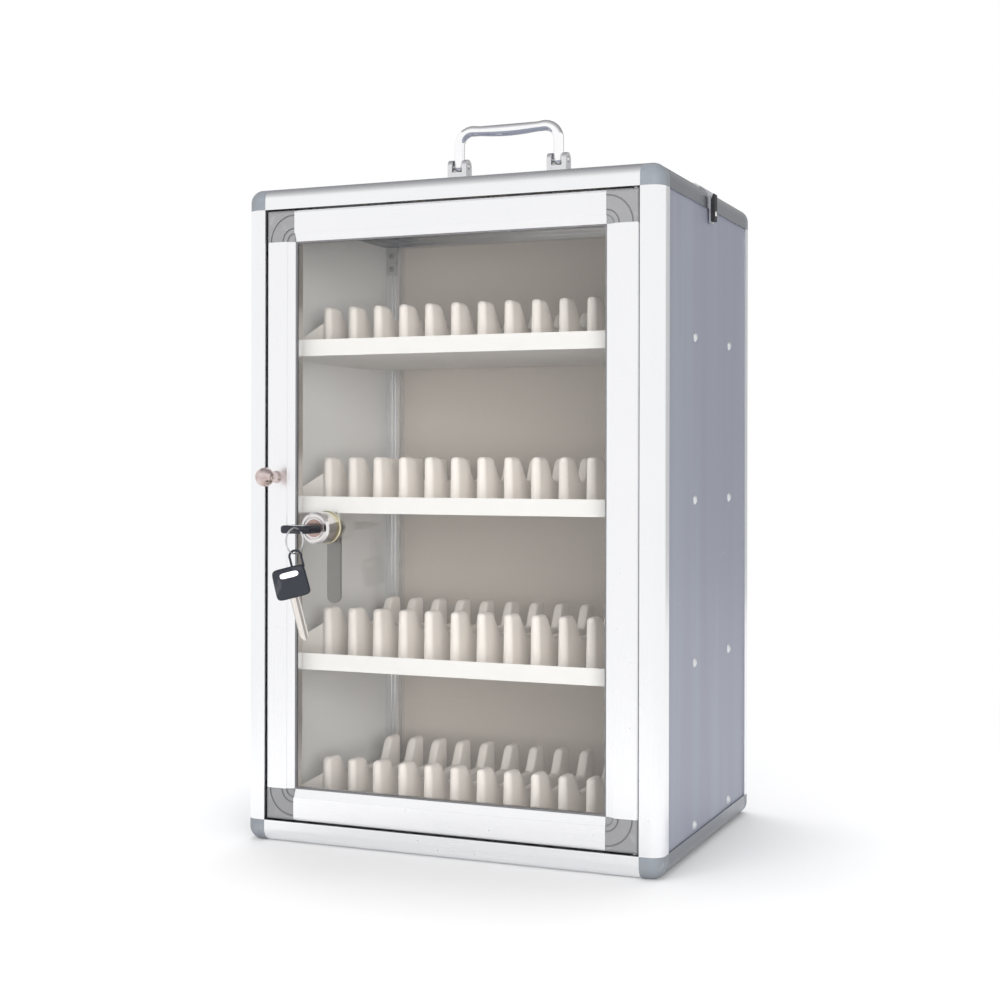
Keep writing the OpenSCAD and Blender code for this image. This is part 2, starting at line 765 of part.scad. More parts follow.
module lock_plug() {
    way_w = blade_w + 2 * free;
    way_t = blade_t + 2 * free;
    way_l = blade_l - blade_out + free + 1;
    color("rosybrown") translate([lock_x, plug_front, lock_z]) rotate([-90, 0, 0]) difference() {
        union() {
            cylinder(r = plug_r, h = barrel_end - plug_front);
            translate([-cam_hub / 2, -cam_hub / 2, 0]) cube([cam_hub, cam_hub, cam_y + cam_t - plug_front]);
            translate([0, 0, barrel_end - plug_front]) cylinder(r = cam_hub / 2 + 2, h = cam_y - barrel_end);
        }
        translate([-way_w / 2, -way_t / 2, -cut]) cube([way_w, way_t, way_l + cut]);
        translate([0, 0, cam_y + cam_t - plug_front - 6]) cylinder(r = 1.5 + run, h = 6 + cut);
    }
}

// Cam in its unlocked position, hanging down from the lock's axis
module lock_cam() {
    color("silver") translate([lock_x, cam_y, lock_z]) rotate([-90, 0, 0]) difference() {
        union() {
            cylinder(r = cam_w / 2 + 2, h = cam_t);
            translate([-cam_w / 2, 0, 0]) cube([cam_w, cam_len - cam_w / 2, cam_t]);
            translate([0, cam_len - cam_w / 2, 0]) cylinder(r = cam_w / 2, h = cam_t);
        }
        translate([-cam_hub / 2 - run, -cam_hub / 2 - run, -cut])
            cube([cam_hub + 2 * run, cam_hub + 2 * run, cam_t + 2 * cut]);
    }
}

module cam_screw() {
    color("silver") translate([lock_x, cam_y + cam_t, lock_z]) rotate([-90, 0, 0]) {
        translate([0, 0, -5.8]) cylinder(r = 1.5, h = 5.8);
        dome(5.4, 2);
    }
}

// ---------- keys ----------
// A key lies in the XY plane with its shoulder at 0,0, its bow towards +Y and its
// blade towards -Y.

module blade_shape() {
    tip = 4;
    linear_extrude(blade_t, center = true) polygon([[-blade_w / 2, 1.5], [blade_w / 2, 1.5],
        [blade_w / 2, tip - blade_l], [0.8, -blade_l], [-0.8, -blade_l], [-blade_w / 2, tip - blade_l]]);
}

module key_blade_solid() {
    mill_w = 2.2;
    mill_d = 0.5;
    difference() {
        blade_shape();
        for (sz = [0, 1]) mirror([0, 0, sz]) translate([0.6, -blade_l - cut, blade_t / 2 - mill_d])
            cube([mill_w, blade_l + cut, mill_d + cut]);
    }
}

module key_bow_solid() {
    h = bow_w / 2;
    eye_y = bow_l + eye_gap + eye_l / 2;
    difference() {
        union() {
            linear_extrude(bow_t, center = true) polygon(soft(
                [[-h, 2.5], [-h / 2, 0], [h / 2, 0], [h, 2.5], [h - 1, bow_l], [1 - h, bow_l]],
                [3, 3, 3, 3, 5, 5]));
            translate([eye_off, 0, 0]) linear_extrude(eye_t, center = true) {
                for (y = [eye_y - (eye_l - eye_w) / 2, eye_y + (eye_l - eye_w) / 2])
                    translate([0, y]) circle(eye_w / 2 + eye_rim);
                translate([-eye_w / 2 - eye_rim, bow_l - 2])
                    square([eye_w + 2 * eye_rim, eye_y + (eye_l - eye_w) / 2 - bow_l + 2]);
            }
        }
        translate([eye_off, 0, 0]) linear_extrude(eye_t + 2 * cut, center = true) {
            for (y = [eye_y - (eye_l - eye_w) / 2, eye_y + (eye_l - eye_w) / 2])
                translate([0, y]) circle(eye_w / 2);
            translate([-eye_w / 2, eye_y - (eye_l - eye_w) / 2]) square([eye_w, eye_l - eye_w]);
        }
        translate([-blade_w / 2 - fit, -cut, -blade_t / 2 - fit])
            cube([blade_w + 2 * fit, 1.5 + fit + cut, blade_t + 2 * fit]);
    }
}

// distance from the key's shoulder to the middle of the eyelet's outer rim
eye_end = bow_l + eye_gap + eye_l + eye_rim / 2;
ring_top = eye_t / 2 + free + wire_r;
ring_x = lock_x + eye_off;
ring_y = shoulder_y - eye_end;
ring_z = lock_z + ring_top - ring_r;
hang_gap = 1.3;                             // from the ring's wire to the hanging key's eyelet

// Key in the lock, lying flat
module in_lock() {
    translate([lock_x, shoulder_y, lock_z]) rotate([0, 0, 180]) mirror([1, 0, 0]) children();
}

// Key that hangs from the ring by its eyelet, tilted so that its weight is under it
module hanging() {
    drop = 36;
    tilt = atan(eye_off / drop);
    translate([ring_x, ring_y, ring_z - ring_r])
        rotate([0, 0, spare_yaw]) rotate([90, 0, 0]) rotate([0, 0, tilt])
            translate([-eye_off, -eye_end + eye_rim / 2 + wire_r + hang_gap, 0]) children();
}

module key_blade() { color("silver") in_lock() key_blade_solid(); }
module key_bow() { color("black") in_lock() key_bow_solid(); }
module spare_key_blade() { color("silver") hanging() key_blade_solid(); }
module spare_key_bow() { color("black") hanging() key_bow_solid(); }

module key_ring() {
    color("silver") translate([ring_x, ring_y, ring_z]) rotate([0, 0, -ring_yaw]) rotate([0, 90, 0])
        rotate_extrude() translate([ring_r, 0]) circle(wire_r, $fn = 24);
}

post(-1, -1);  // post_front_left
post(1, -1);  // post_front_right
post(-1, 1);  // post_rear_left
post(1, 1);  // post_rear_right
rail_front(1);  // rail_front_top
rail_front(-1);  // rail_front_bottom
color("gainsboro") rail_x(1, 1);  // rail_rear_top
color("gainsboro") rail_x(1, -1);  // rail_rear_bottom
rail_y(-1, 1);  // rail_left_top
rail_y(-1, -1);  // rail_left_bottom
rail_y(1, 1);  // rail_right_top
rail_y(1, -1);  // rail_right_bottom
corner_caps(1);  // corner_caps_top
corner_caps(-1);  // corner_caps_bottom
side_panel(-1);  // side_panel_left
side_panel(1);  // side_panel_right
back_panel();
top_panel();
bottom_panel();
tray(1);  // tray_1
tray(2);  // tray_2
tray(3);  // tray_3
tray(4);  // tray_4
dividers(1);  // dividers_1
dividers(2);  // dividers_2
dividers(3);  // dividers_3
dividers(4);  // dividers_4
tray_rivets();
rear_brackets();
hinge_pins();
hinge_washers();
handle_bracket(-1);  // handle_bracket_left
handle_bracket(1);  // handle_bracket_right
handle_pins();
handle_bail();
edge_plates();
edge_pads();
door_stile_left();
color("whitesmoke") door_stile(1);  // door_stile_right
door_rail(1);  // door_rail_top
door_rail(-1);  // door_rail_bottom
door_corner(-1, 1);  // door_corner_top_left
door_corner(1, 1);  // door_corner_top_right
door_corner(-1, -1);  // door_corner_bottom_left
door_corner(1, -1);  // door_corner_bottom_right
door_glass();
glass_seal();
door_knob();
knob_screw();
lock_body();
lock_nut();
lock_plug();
lock_cam();
cam_screw();
key_blade();
key_bow();
key_ring();
spare_key_blade();
spare_key_bow();
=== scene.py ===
"""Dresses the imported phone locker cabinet: finishes, moulded dividers, handle, keys and the studio."""

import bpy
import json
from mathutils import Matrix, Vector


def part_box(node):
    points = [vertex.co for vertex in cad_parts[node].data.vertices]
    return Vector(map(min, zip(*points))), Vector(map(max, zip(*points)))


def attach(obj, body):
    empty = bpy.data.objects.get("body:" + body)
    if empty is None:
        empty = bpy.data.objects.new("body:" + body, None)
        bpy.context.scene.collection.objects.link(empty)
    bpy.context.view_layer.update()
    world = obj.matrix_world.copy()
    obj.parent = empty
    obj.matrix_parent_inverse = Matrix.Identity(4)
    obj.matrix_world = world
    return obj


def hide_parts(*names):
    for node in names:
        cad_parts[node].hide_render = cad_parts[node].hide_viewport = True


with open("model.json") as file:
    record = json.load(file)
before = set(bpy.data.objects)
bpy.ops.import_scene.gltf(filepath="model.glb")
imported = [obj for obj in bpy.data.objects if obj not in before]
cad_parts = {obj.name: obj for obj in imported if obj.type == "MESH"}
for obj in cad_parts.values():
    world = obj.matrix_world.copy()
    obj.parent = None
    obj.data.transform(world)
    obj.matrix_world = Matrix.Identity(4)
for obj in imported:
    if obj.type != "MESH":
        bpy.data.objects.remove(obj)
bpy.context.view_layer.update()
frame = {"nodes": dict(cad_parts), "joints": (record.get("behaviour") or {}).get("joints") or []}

import json
import logging
import math
from dataclasses import dataclass
from enum import Enum
from functools import cache
from typing import Any

import bpy
import numpy as np

LOG = logging.getLogger("cabinet")
MM = 0.001
Colour = tuple[float, float, float]
Vec = tuple[float, float, float]
Value = Any  # a Signal, a number, or a colour or vector as a tuple
Table = dict[Any, Any]
Faces = list[list[int]]
Mesh = tuple[np.ndarray, Faces]
PIVOTS = {joint["name"]: joint["pos_m"] for joint in frame["joints"] if "pos_m" in joint}
LOCK_X, _, LOCK_Z = PIVOTS["lock_turn"]


class Axis(Enum):
    """A direction of the row frame, such as the one a bar was extruded or a sheet was brushed along."""

    X = 0
    Y = 1
    Z = 2


class Ray(Enum):
    """Kinds of ray that the studio answers with plain white."""

    CAMERA = "Is Camera Ray"
    GLOSSY = "Is Glossy Ray"
    TRANSMISSION = "Is Transmission Ray"


def edge(node: str, across: Axis, end: int) -> float:
    """Where a solid's box starts (end 0) or stops (end 1) along an axis, to the micrometre."""
    return round(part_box(node)[end][across.value], 6)


# ---- shader maths


@dataclass(frozen=True)
class Signal:
    """One value that runs through a shader: a node's output socket with arithmetic on it."""

    graph: "Graph"
    socket: bpy.types.NodeSocket

    def __add__(self, other: Value) -> "Signal":
        """Sum of two values."""
        return self.graph.math("ADD", self, other)

    def __sub__(self, other: Value) -> "Signal":
        """This value less another."""
        return self.graph.math("SUBTRACT", self, other)

    def __rsub__(self, other: Value) -> "Signal":
        """Another value less this one."""
        return self.graph.math("SUBTRACT", other, self)

    def __mul__(self, other: Value) -> "Signal":
        """Product of two values."""
        return self.graph.math("MULTIPLY", self, other)

    def __pow__(self, other: Value) -> "Signal":
        """This value to a power."""
        return self.graph.math("POWER", self, other)

    def __abs__(self) -> "Signal":
        """Size of the value without its sign."""
        return self.graph.math("ABSOLUTE", self)

    __radd__ = __add__

    def either(self, other: Value) -> "Signal":
        """The larger of two values."""
        return self.graph.math("MAXIMUM", self, other)

    def both(self, other: Value) -> "Signal":
        """The smaller of two values."""
        return self.graph.math("MINIMUM", self, other)

    def step(self, low: float, high: float) -> "Signal":
        """Smooth mask that is 0 below low and 1 above high.

        Args:
            low: Value where the mask starts.
            high: Value where it is full; smaller than low for a mask that falls.

        Returns:
            The mask.
        """
        ends = (low, high, 0.0, 1.0) if low < high else (high, low, 1.0, 0.0)
        smooth = {"interpolation_type": "SMOOTHSTEP", "clamp": True}
        return self.graph.out("ShaderNodeMapRange", smooth, dict(enumerate((self, *ends))))


class Graph:
    """A material's or the world's node tree, with one method that adds any node."""

    def __init__(self, tree: bpy.types.NodeTree) -> None:
        """Keeps the tree and empties it."""
        self.tree = tree
        tree.nodes.clear()

    def node(self, kind: str, settings: Table | None = None, sockets: Table | None = None) -> Any:
        """Adds a node, sets its options first and then fills its sockets.

        Args:
            kind: The node's type name.
            settings: Its options.
            sockets: Values or links by the socket's name or number.

        Returns:
            The node.
        """
        node = self.tree.nodes.new(kind)
        for name, value in (settings or {}).items():
            setattr(node, name, value)
        for name, value in (sockets or {}).items():
            socket = node.inputs[name]
            if isinstance(value, Signal):
                self.tree.links.new(value.socket, socket)
            elif isinstance(value, tuple) and len(socket.default_value) == 4:
                socket.default_value = (*value, 1.0)[:4]
            else:
                socket.default_value = value
        return node

    def out(self, kind: str, settings: Table | None = None, sockets: Table | None = None,
            output: Any = 0) -> Signal:
        """One output, by its number or name, of a new node."""
        return Signal(self, self.node(kind, settings, sockets).outputs[output])

    def math(self, operation: str, *values: Value) -> Signal:
        """One Math node on its values."""
        return self.out("ShaderNodeMath", {"operation": operation}, dict(enumerate(values)))

    def mix(self, factor: Value, first: Value, second: Value) -> Signal:
        """Blend of two colours: the first where the factor is 0, the second where it is 1."""
        return self.out("ShaderNodeMix", {"data_type": "RGBA"}, {0: factor, 6: first, 7: second}, 2)

    @property
    def place(self) -> Signal:
        """The point in the row frame, from the object's own coordinates."""
        return self.out("ShaderNodeTexCoord", output="Object")

    def xyz(self) -> tuple[Signal, Signal, Signal]:
        """The point's three coordinates, in metres."""
        node = self.node("ShaderNodeSeparateXYZ", None, {0: self.place})
        return tuple(Signal(self, socket) for socket in node.outputs)

    def noise(self, scale: float, detail: float = 2.0, stretch: Vec = (1.0, 1.0, 1.0)) -> Signal:
        """Soft random pattern from 0 to 1.

        Args:
            scale: Patches per metre.
            detail: Octaves of finer patches.
            stretch: Factor on the scale of each axis.

        Returns:
            The pattern's value.
        """
        factors = tuple(scale * s for s in stretch)
        where = self.out("ShaderNodeMapping", None, {"Vector": self.place, "Scale": factors})
        pattern = {"Vector": where, "Scale": 1.0, "Detail": detail, "Roughness": 0.55}
        return self.out("ShaderNodeTexNoise", None, pattern)

    def streaks(self, along: Axis, scale: float, length: float = 0.006, detail: float = 2.0) -> Signal:
        """Noise drawn out to fine lines; length is the scale along them over the scale across."""
        stretch = tuple(length if axis is along else 1.0 for axis in Axis)
        return self.noise(scale, detail, stretch)

    def bump(self, height: Signal, depth: float, strength: float = 1.0) -> Signal:
        """Normal of a surface that a pattern of 0 to 1 raises by a depth in metres."""
        return self.out("ShaderNodeBump", None, {"Height": height, "Distance": depth, "Strength": strength})

    def glow(self, colour: Value) -> Signal:
        """Emission of strength 1."""
        return self.out("ShaderNodeEmission", None, {"Color": colour, "Strength": 1.0})

    def white_rays(self) -> Signal:
        """1 for rays of the kinds that see plain white, else 0.

        Returns:
            The mask.
        """
        path = self.node("ShaderNodeLightPath")
        camera, glossy, through = (Signal(self, path.outputs[ray.value]) for ray in Ray)
        return camera.either(glossy).either(through)

    def surface(self, shader: Signal) -> None:
        """Connects a shader to the material's output."""
        self.node("ShaderNodeOutputMaterial", None, {"Surface": shader})

    def principled(self, **sockets: Value) -> Signal:
        """The standard surface shader; underscores join the words of a socket's name."""
        named = {name.replace("_", " "): value for name, value in sockets.items()}
        return self.out("ShaderNodeBsdfPrincipled", None, named)


def shade(colour: Colour, factor: float) -> Colour:
    """The colour with its brightness times factor."""
    return tuple(min(1.0, c * factor) for c in colour)


def distance(across: Signal, up: Signal) -> Signal:
    """Distance from a middle: the root of the sum of both squares."""
    return (across * across + up * up) ** 0.5


def cross_recess(across: Signal, up: Signal, reach: float) -> Signal:
    """Mask of a screw's cross recess: near one of two axes, within a reach of the middle."""
    arms = abs(across).both(abs(up)).step(0.5 * MM, 0.3 * MM)
    return arms * abs(across).either(abs(up)).step(reach, reach - 0.3 * MM)


@dataclass(frozen=True)
class Finish:
    """A surface finish. Subclasses lay out the nodes in paint()."""

    name: str
    colour: Colour

    def paint(self, g: Graph) -> Signal:
        """Builds the surface's shader in its material's empty graph."""
        raise NotImplementedError


@cache
def material(finish: Finish) -> bpy.types.Material:
    """The material of a finish, made once.

    Args:
        finish: The finish to build.

    Returns:
        The material.
    """
    made = bpy.data.materials.new(finish.name)
    made.use_nodes = True
    graph = Graph(made.node_tree)
    graph.surface(finish.paint(graph))
    made.diffuse_color = (*finish.colour, 1.0)
    return made


@dataclass(frozen=True)
class Extrusion(Finish):
    """Satin anodised aluminium bar with the faint lines its die leaves along it."""

    along: Axis
    metallic: float = 1.0
    roughness: float = 0.26

    def paint(self, g: Graph) -> Signal:
        """Die lines along the bar, a cloudy anodising tone and a few handling marks.

        Args:
            g: The graph.

        Returns:
            The shader.
        """
        lines = g.streaks(self.along, 5200.0, 0.0012)
        cloud = g.noise(11.0, 3.0)
        marks = g.noise(190.0, 3.0).step(0.7, 0.76)
        tone = g.mix(lines * 0.4 + cloud * 0.6, self.colour, shade(self.colour, 0.94))
        return g.principled(
            Base_Color=g.mix(marks * 0.12, tone, shade(self.colour, 0.7)),
            Metallic=self.metallic,
            Roughness=self.roughness + (lines - 0.5) * 0.08 + (cloud - 0.5) * 0.08 + marks * 0.05,
            Normal=g.bump(lines, 0.000008, 0.3),
        )


@dataclass(frozen=True)
class Panel(Finish):
    """Coated sheet with its own colour on the outer and on the inner face."""

    inner: Colour
    across: Axis
    split: float
    metallic: float = 0.45
    roughness: float = 0.42

    def paint(self, g: Graph) -> Signal:
        """Metallic flakes, wide soft bands along the sheet's rise, orange peel and light scuffs.

        Args:
            g: The graph.

        Returns:
            The shader.
        """
        outside = abs(g.xyz()[self.across.value]).step(self.split - 0.0004, self.split + 0.0004)
        flakes = g.noise(2600.0, 0.0)
        bands = g.streaks(Axis.Z, 26.0, 0.05)
        cool = shade(self.colour, 1.1)
        warm = tuple(c * f for c, f in zip(self.colour, (1.0, 0.93, 1.0)))
        peel = g.noise(420.0, 1.0)
        scuffs = g.streaks(Axis.Y, 240.0, 0.12, 3.0).step(0.7, 0.78)
        colour = g.mix(outside, self.inner, g.mix(bands.step(0.25, 0.75), warm, cool))
        colour = g.mix(flakes * 0.22, colour, shade(self.colour, 0.8))
        return g.principled(
            Base_Color=g.mix(scuffs * 0.10, colour, (0.86, 0.87, 0.9)),
            Metallic=outside * self.metallic,
            Roughness=self.roughness + (flakes - 0.5) * 0.12 + scuffs * 0.08,
            Normal=g.bump(peel * 0.8 + flakes * 0.2, 0.00004, 0.35),
        )


@dataclass(frozen=True)
class PowderCoat(Finish):
    """Baked powder paint with its fine pebbled skin and grey rubbed edges."""

    roughness: float = 0.5

    def paint(self, g: Graph) -> Signal:
        """Pebbles in the skin, dull rubbed patches and specks of dust.

        Args:
            g: The graph.

        Returns:
            The shader.
        """
        pebbles = g.noise(1100.0, 1.0)
        rubbed = g.noise(34.0, 4.0).step(0.5, 0.72)
        specks = g.noise(900.0, 0.0).step(0.72, 0.76)
        colour = g.mix(rubbed * 0.5, self.colour, shade(self.colour, 0.95))
        return g.principled(
            Base_Color=g.mix(specks * 0.25, colour, shade(self.colour, 0.72)),
            Roughness=self.roughness + (pebbles - 0.5) * 0.08 + rubbed * 0.08,
            Normal=g.bump(pebbles, 0.00005, 0.5),
        )


@dataclass(frozen=True)
class Moulded(Finish):
    """Injection-moulded plastic with a fine spark-eroded grain."""

    roughness: float = 0.45
    grain: float = 1700.0
    depth: float = 0.00003
    worn: Colour = (0.6, 0.6, 0.6)
    wear: float = 0.08

    def paint(self, g: Graph) -> Signal:
        """Grain, flow clouds in the plastic, polished handling patches and any painted shade.

        Args:
            g: The graph.

        Returns:
            The shader.
        """
        grain = g.noise(self.grain, 1.0)
        flow = g.noise(28.0, 3.0)
        rubbed = g.noise(95.0, 4.0).step(0.55, 0.75)
        colour = g.mix(flow, shade(self.colour, 0.96), shade(self.colour, 1.03))
        colour = g.mix(rubbed * self.wear, colour, self.worn)
        return g.principled(
            # painted shade: mixes towards a dark copy of the colour by the share of shade that the hook
            # below gives
            Base_Color=g.mix(self.painted_shade(g), colour, shade(self.colour, 0.3)),
            Roughness=self.roughness + (grain - 0.5) * 0.12 - rubbed * 0.08,
            Normal=g.bump(grain, self.depth, 0.5),
        )

    def painted_shade(self, g: Graph) -> Value:
        """Share of painted shade on the surface: none."""
        return 0.0


@dataclass(frozen=True)
class PressedCorner(Moulded):
    """Moulded corner piece with painted shade in the arcs that are pressed round the opening's corner."""

    open_x: float = edge("door_rail_top", Axis.X, 1)
    open_low: float = edge("door_stile_left", Axis.Z, 0)
    open_high: float = edge("door_stile_left", Axis.Z, 1)
    arcs: tuple[float, ...] = (0.0239, 0.0116, 0.0068)

    def painted_shade(self, g: Graph) -> Value:
        """Painted shade along each arc, by the distance from the nearest corner of the opening.

        Args:
            g: The graph.

        Returns:
            Share of painted shade.
        """
        x, _, z = g.xyz()
        middle, half = (self.open_high + self.open_low) / 2, (self.open_high - self.open_low) / 2
        across, up = abs(x) - self.open_x, abs(z - middle) - half
        radius = distance(across, up)
        # painted shade along each pressed arc, at half strength
        masks = [abs(radius - arc).step(0.0009, 0.0004) for arc in self.arcs]
        return masks[0].either(masks[1]).either(masks[2]) * 0.5


@dataclass(frozen=True)
class Polished(Finish):
    """Plated and polished metal with finger smudges."""

    roughness: float = 0.09
    tint: Colour = (0.5, 0.45, 0.4)
    tinted: float = 0.12

    def paint(self, g: Graph) -> Signal:
        """Smudges that dull the plating, hairlines and a slightly warmer tone where it is worn.

        Args:
            g: The graph.

        Returns:
            The shader.
        """
        smudge = g.noise(70.0, 4.0).step(0.42, 0.7)
        hairs = g.noise(5200.0, 0.0, (1.0, 0.12, 1.0))
        return g.principled(
            Base_Color=g.mix(smudge * self.tinted, self.colour, self.tint),
            Metallic=1.0,
            Roughness=self.roughness + smudge * 0.10 + hairs * 0.03,
            Normal=g.bump(hairs, 0.000004, 0.4),
        )


@dataclass(frozen=True)
class Brushed(Finish):
    """Brushed or zinc-plated steel with lines in one direction."""

    along: Axis = Axis.X
    roughness: float = 0.3

    def paint(self, g: Graph) -> Signal:
        """Brush lines, zinc clouds and small dark pits.

        Args:
            g: The graph.

        Returns:
            The shader.
        """
        lines = g.streaks(self.along, 3800.0, 0.02)
        clouds = g.noise(120.0, 3.0)
        pits = g.noise(1500.0, 0.0).step(0.74, 0.78)
        colour = g.mix(clouds, shade(self.colour, 0.9), shade(self.colour, 1.06))
        return g.principled(
            Base_Color=g.mix(pits * 0.5, colour, shade(self.colour, 0.45)),
            Metallic=0.95,
            Roughness=self.roughness + (lines - 0.5) * 0.16 + (clouds - 0.5) * 0.1,
            Normal=g.bump(lines, 0.00001, 0.5),
        )


@dataclass(frozen=True)
class KeyBlade(Finish):
    """Nickel-plated key blade with painted shade in its milled groove and along its cut edges."""

    origin: Vec
    across: Vec
    groove_off: float = 1.7 * MM
    groove_half: float = 1.25 * MM
    cut_from: float = 3.0 * MM
    cut_full: float = 3.8 * MM

    def paint(self, g: Graph) -> Signal:
        """Paints shade into the groove and along the edges by the distance across the blade, with wear
        lines along it.

        Args:
            g: The graph.

        Returns:
            The shader.
        """
        product = {"operation": "DOT_PRODUCT"}
        side = g.out("ShaderNodeVectorMath", product, {0: g.place, 1: self.across}, output="Value")
        side = side - sum(o * a for o, a in zip(self.origin, self.across))
        groove = abs(side - self.groove_off).step(self.groove_half, 0.9 * MM)
        rim = abs(side).step(self.cut_from, self.cut_full)
        wear = g.noise(900.0, 2.0, (1.0, 1.0, 0.1)).step(0.5, 0.7)
        # painted shade: the groove and both cut edges are darkened towards a dark copy of the colour
        colour = g.mix(groove * 0.8 + rim * 0.45, self.colour, shade(self.colour, 0.3))
        return g.principled(
            Base_Color=g.mix(wear * 0.2, colour, shade(self.colour, 0.7)),
            Metallic=0.95,
            Roughness=0.2 + groove * 0.2 + wear * 0.1,
            Normal=g.bump(wear, 0.00001, 0.5),
        )


@dataclass(frozen=True)
class ScrewedPlate(Finish):
    """Zinc-plated plate with two domed screws, their cross recesses drawn by place with painted shade."""

    screw_x: float
    middle_z: float
    spread: float
    head_radius: float = 2.6 * MM
    recess: float = 1.7 * MM

    def paint(self, g: Graph) -> Signal:
        """Zinc clouds, and on every screw painted shade: a dark cross in its recess and a dark line round
        its head.

        Args:
            g: The graph.

        Returns:
            The shader.
        """
        x, _, z = g.xyz()
        across, up = abs(x) - self.screw_x, abs(z - self.middle_z) - self.spread
        # painted shade: a dark line round each screw head and a dark cross in its recess
        rim = abs(distance(across, up) - self.head_radius).step(0.4 * MM, 0.1 * MM)
        dark = cross_recess(across, up, self.recess).either(rim)
        clouds = g.noise(150.0, 3.0)
        colour = g.mix(clouds, shade(self.colour, 0.9), shade(self.colour, 1.05))
        return g.principled(
            Base_Color=g.mix(dark * 0.9, colour, (0.04, 0.04, 0.04)),
            Metallic=0.95,
            Roughness=0.3 + (clouds - 0.5) * 0.15,
            Normal=g.bump(1 - dark, 0.0002, 0.6),
        )


@dataclass(frozen=True)
class Pane(Finish):
    """Clear float glass that lets the lamps through to what stands behind it."""

    def paint(self, g: Graph) -> Signal:
        """Glass with a faint uneven tint, and a clear film for the lamps' shadow rays.

        Args:
            g: The graph.

        Returns:
            The shader.
        """
        haze = g.noise(7.0, 3.0)
        tint = g.mix(haze, self.colour, shade(self.colour, 0.985))
        glass = g.principled(Base_Color=tint, Roughness=0.0, IOR=1.45, Transmission_Weight=1.0)
        film = g.out("ShaderNodeBsdfTransparent", None, {"Color": (0.98, 0.98, 0.975)})
        shadow = g.out("ShaderNodeLightPath", output="Is Shadow Ray")
        return g.out("ShaderNodeMixShader", None, {0: shadow, 1: glass, 2: film})


@dataclass(frozen=True)
class PadWithScrew(Finish):
    """Black rubber pad whose small domed screw, outside a given reach, is bright steel."""

    steel: Colour
    reach: float
    screw_z: float
    recess: float = 1.6 * MM

    def paint(self, g: Graph) -> Signal:
        """Matt grained rubber, and on the screw a cross recess drawn by height and depth, with painted
        shade in it.

        Args:
            g: The graph.

        Returns:
            The shader.
        """
        x, y, z = g.xyz()
        screw = abs(x).step(self.reach, self.reach + 0.0001)
        grain = g.noise(1400.0, 2.0)
        cross = cross_recess(y, z - self.screw_z, self.recess) * screw
        colour = g.mix(screw, g.mix(grain, shade(self.colour, 0.7), shade(self.colour, 1.5)), self.steel)
        return g.principled(
            # painted shade: the screw's cross recess is drawn nearly black
            Base_Color=g.mix(cross, colour, (0.05, 0.05, 0.05)),
            Metallic=screw * 0.9,
            Roughness=0.62 - screw * 0.4 + (grain - 0.5) * 0.15,
            Normal=g.bump(grain * 0.3 * (1 - screw) - cross, 0.0002, 0.6),
        )


@dataclass(frozen=True)
class CamLockFace(Finish):
    """Nickel-plated lock with a turned face, painted shade in its step and a brassy ring near the glass."""

    brass: Colour
    axis_x: float
    axis_z: float
    rear_y: float
    step_radius: float = 9.5 * MM
    brass_from: float = 10.5 * MM
    brass_full: float = 8.0 * MM
    turning: float = 26000.0

    def paint(self, g: Graph) -> Signal:
        """Turned circles about the lock's axis, painted shade in the face's step, and the brass showing
        where the plating is thin.

        Args:
            g: The graph.

        Returns:
            The shader.
        """
        x, y, z = g.xyz()
        radius = distance(x - self.axis_x, z - self.axis_z)
        turned = g.math("SINE", radius * self.turning) * 0.5 + 0.5
        rear = y.step(self.rear_y - self.brass_from, self.rear_y - self.brass_full)
        clouds = g.noise(160.0, 3.0)
        # painted shade: a dark ring where the face steps down, kept off the brass
        step_shade = abs(radius - self.step_radius).step(0.0011, 0.0002) * (1 - rear)
        colour = g.mix(clouds * 0.4 + step_shade * 0.5, self.colour, shade(self.colour, 0.6))
        return g.principled(
            Base_Color=g.mix(rear * 0.85, colour, self.brass),
            Metallic=1.0,
            Roughness=0.10 + turned * 0.06 + clouds * 0.08,
            Normal=g.bump(turned, 0.000006, 0.5),
        )


@dataclass(frozen=True)
class PaleFloor(Finish):
    """Matt floor that keeps the object's shadow and fades to plain white round it."""

    fade: tuple[float, float] = (0.3, 1.1)

    def paint(self, g: Graph) -> Signal:
        """Matt near the object, and white to the rays that see it beyond.

        Args:
            g: The graph.

        Returns:
            The shader.
        """
        x, y, _ = g.xyz()
        far = distance(x, y).step(*self.fade)
        matt = g.out("ShaderNodeBsdfDiffuse", None, {"Color": self.colour})
        white = g.glow((1.0, 1.0, 1.0))
        return g.out("ShaderNodeMixShader", None, {0: g.white_rays() * far, 1: matt, 2: white})


@dataclass(frozen=True)
class Card(Finish):
    """Grey card that the gloss mirrors, with a ramp of brightness along the depth."""

    far_colour: Colour
    ramp: tuple[float, float]

    def paint(self, g: Graph) -> Signal:
        """Glow that goes from one colour to the other along the ramp."""
        return g.glow(g.mix(g.xyz()[Axis.Y.value].step(*self.ramp), self.colour, self.far_colour))


# ---- surfaces


def mesh_piece(name: str, points: np.ndarray, faces: Faces, finish: Finish,
               smooth: float = 40.0) -> bpy.types.Object:
    """Makes an object at the origin from points in the row frame.

    Args:
        name: The piece's name.
        points: Vertex positions in metres, one row each.
        faces: Vertex numbers of each face.
        finish: Its surface finish.
        smooth: Edges sharper than this angle, in degrees, stay sharp.

    Returns:
        The new object.
    """
    mesh = bpy.data.meshes.new(name)
    mesh.from_pydata(points.tolist(), [], faces)
    mesh.validate()
    mesh.polygons.foreach_set("use_smooth", np.ones(len(mesh.polygons), bool))
    mesh.set_sharp_from_angle(angle=math.radians(smooth))
    mesh.materials.append(material(finish))
    piece = bpy.data.objects.new(name, mesh)
    bpy.context.scene.collection.objects.link(piece)
    return piece


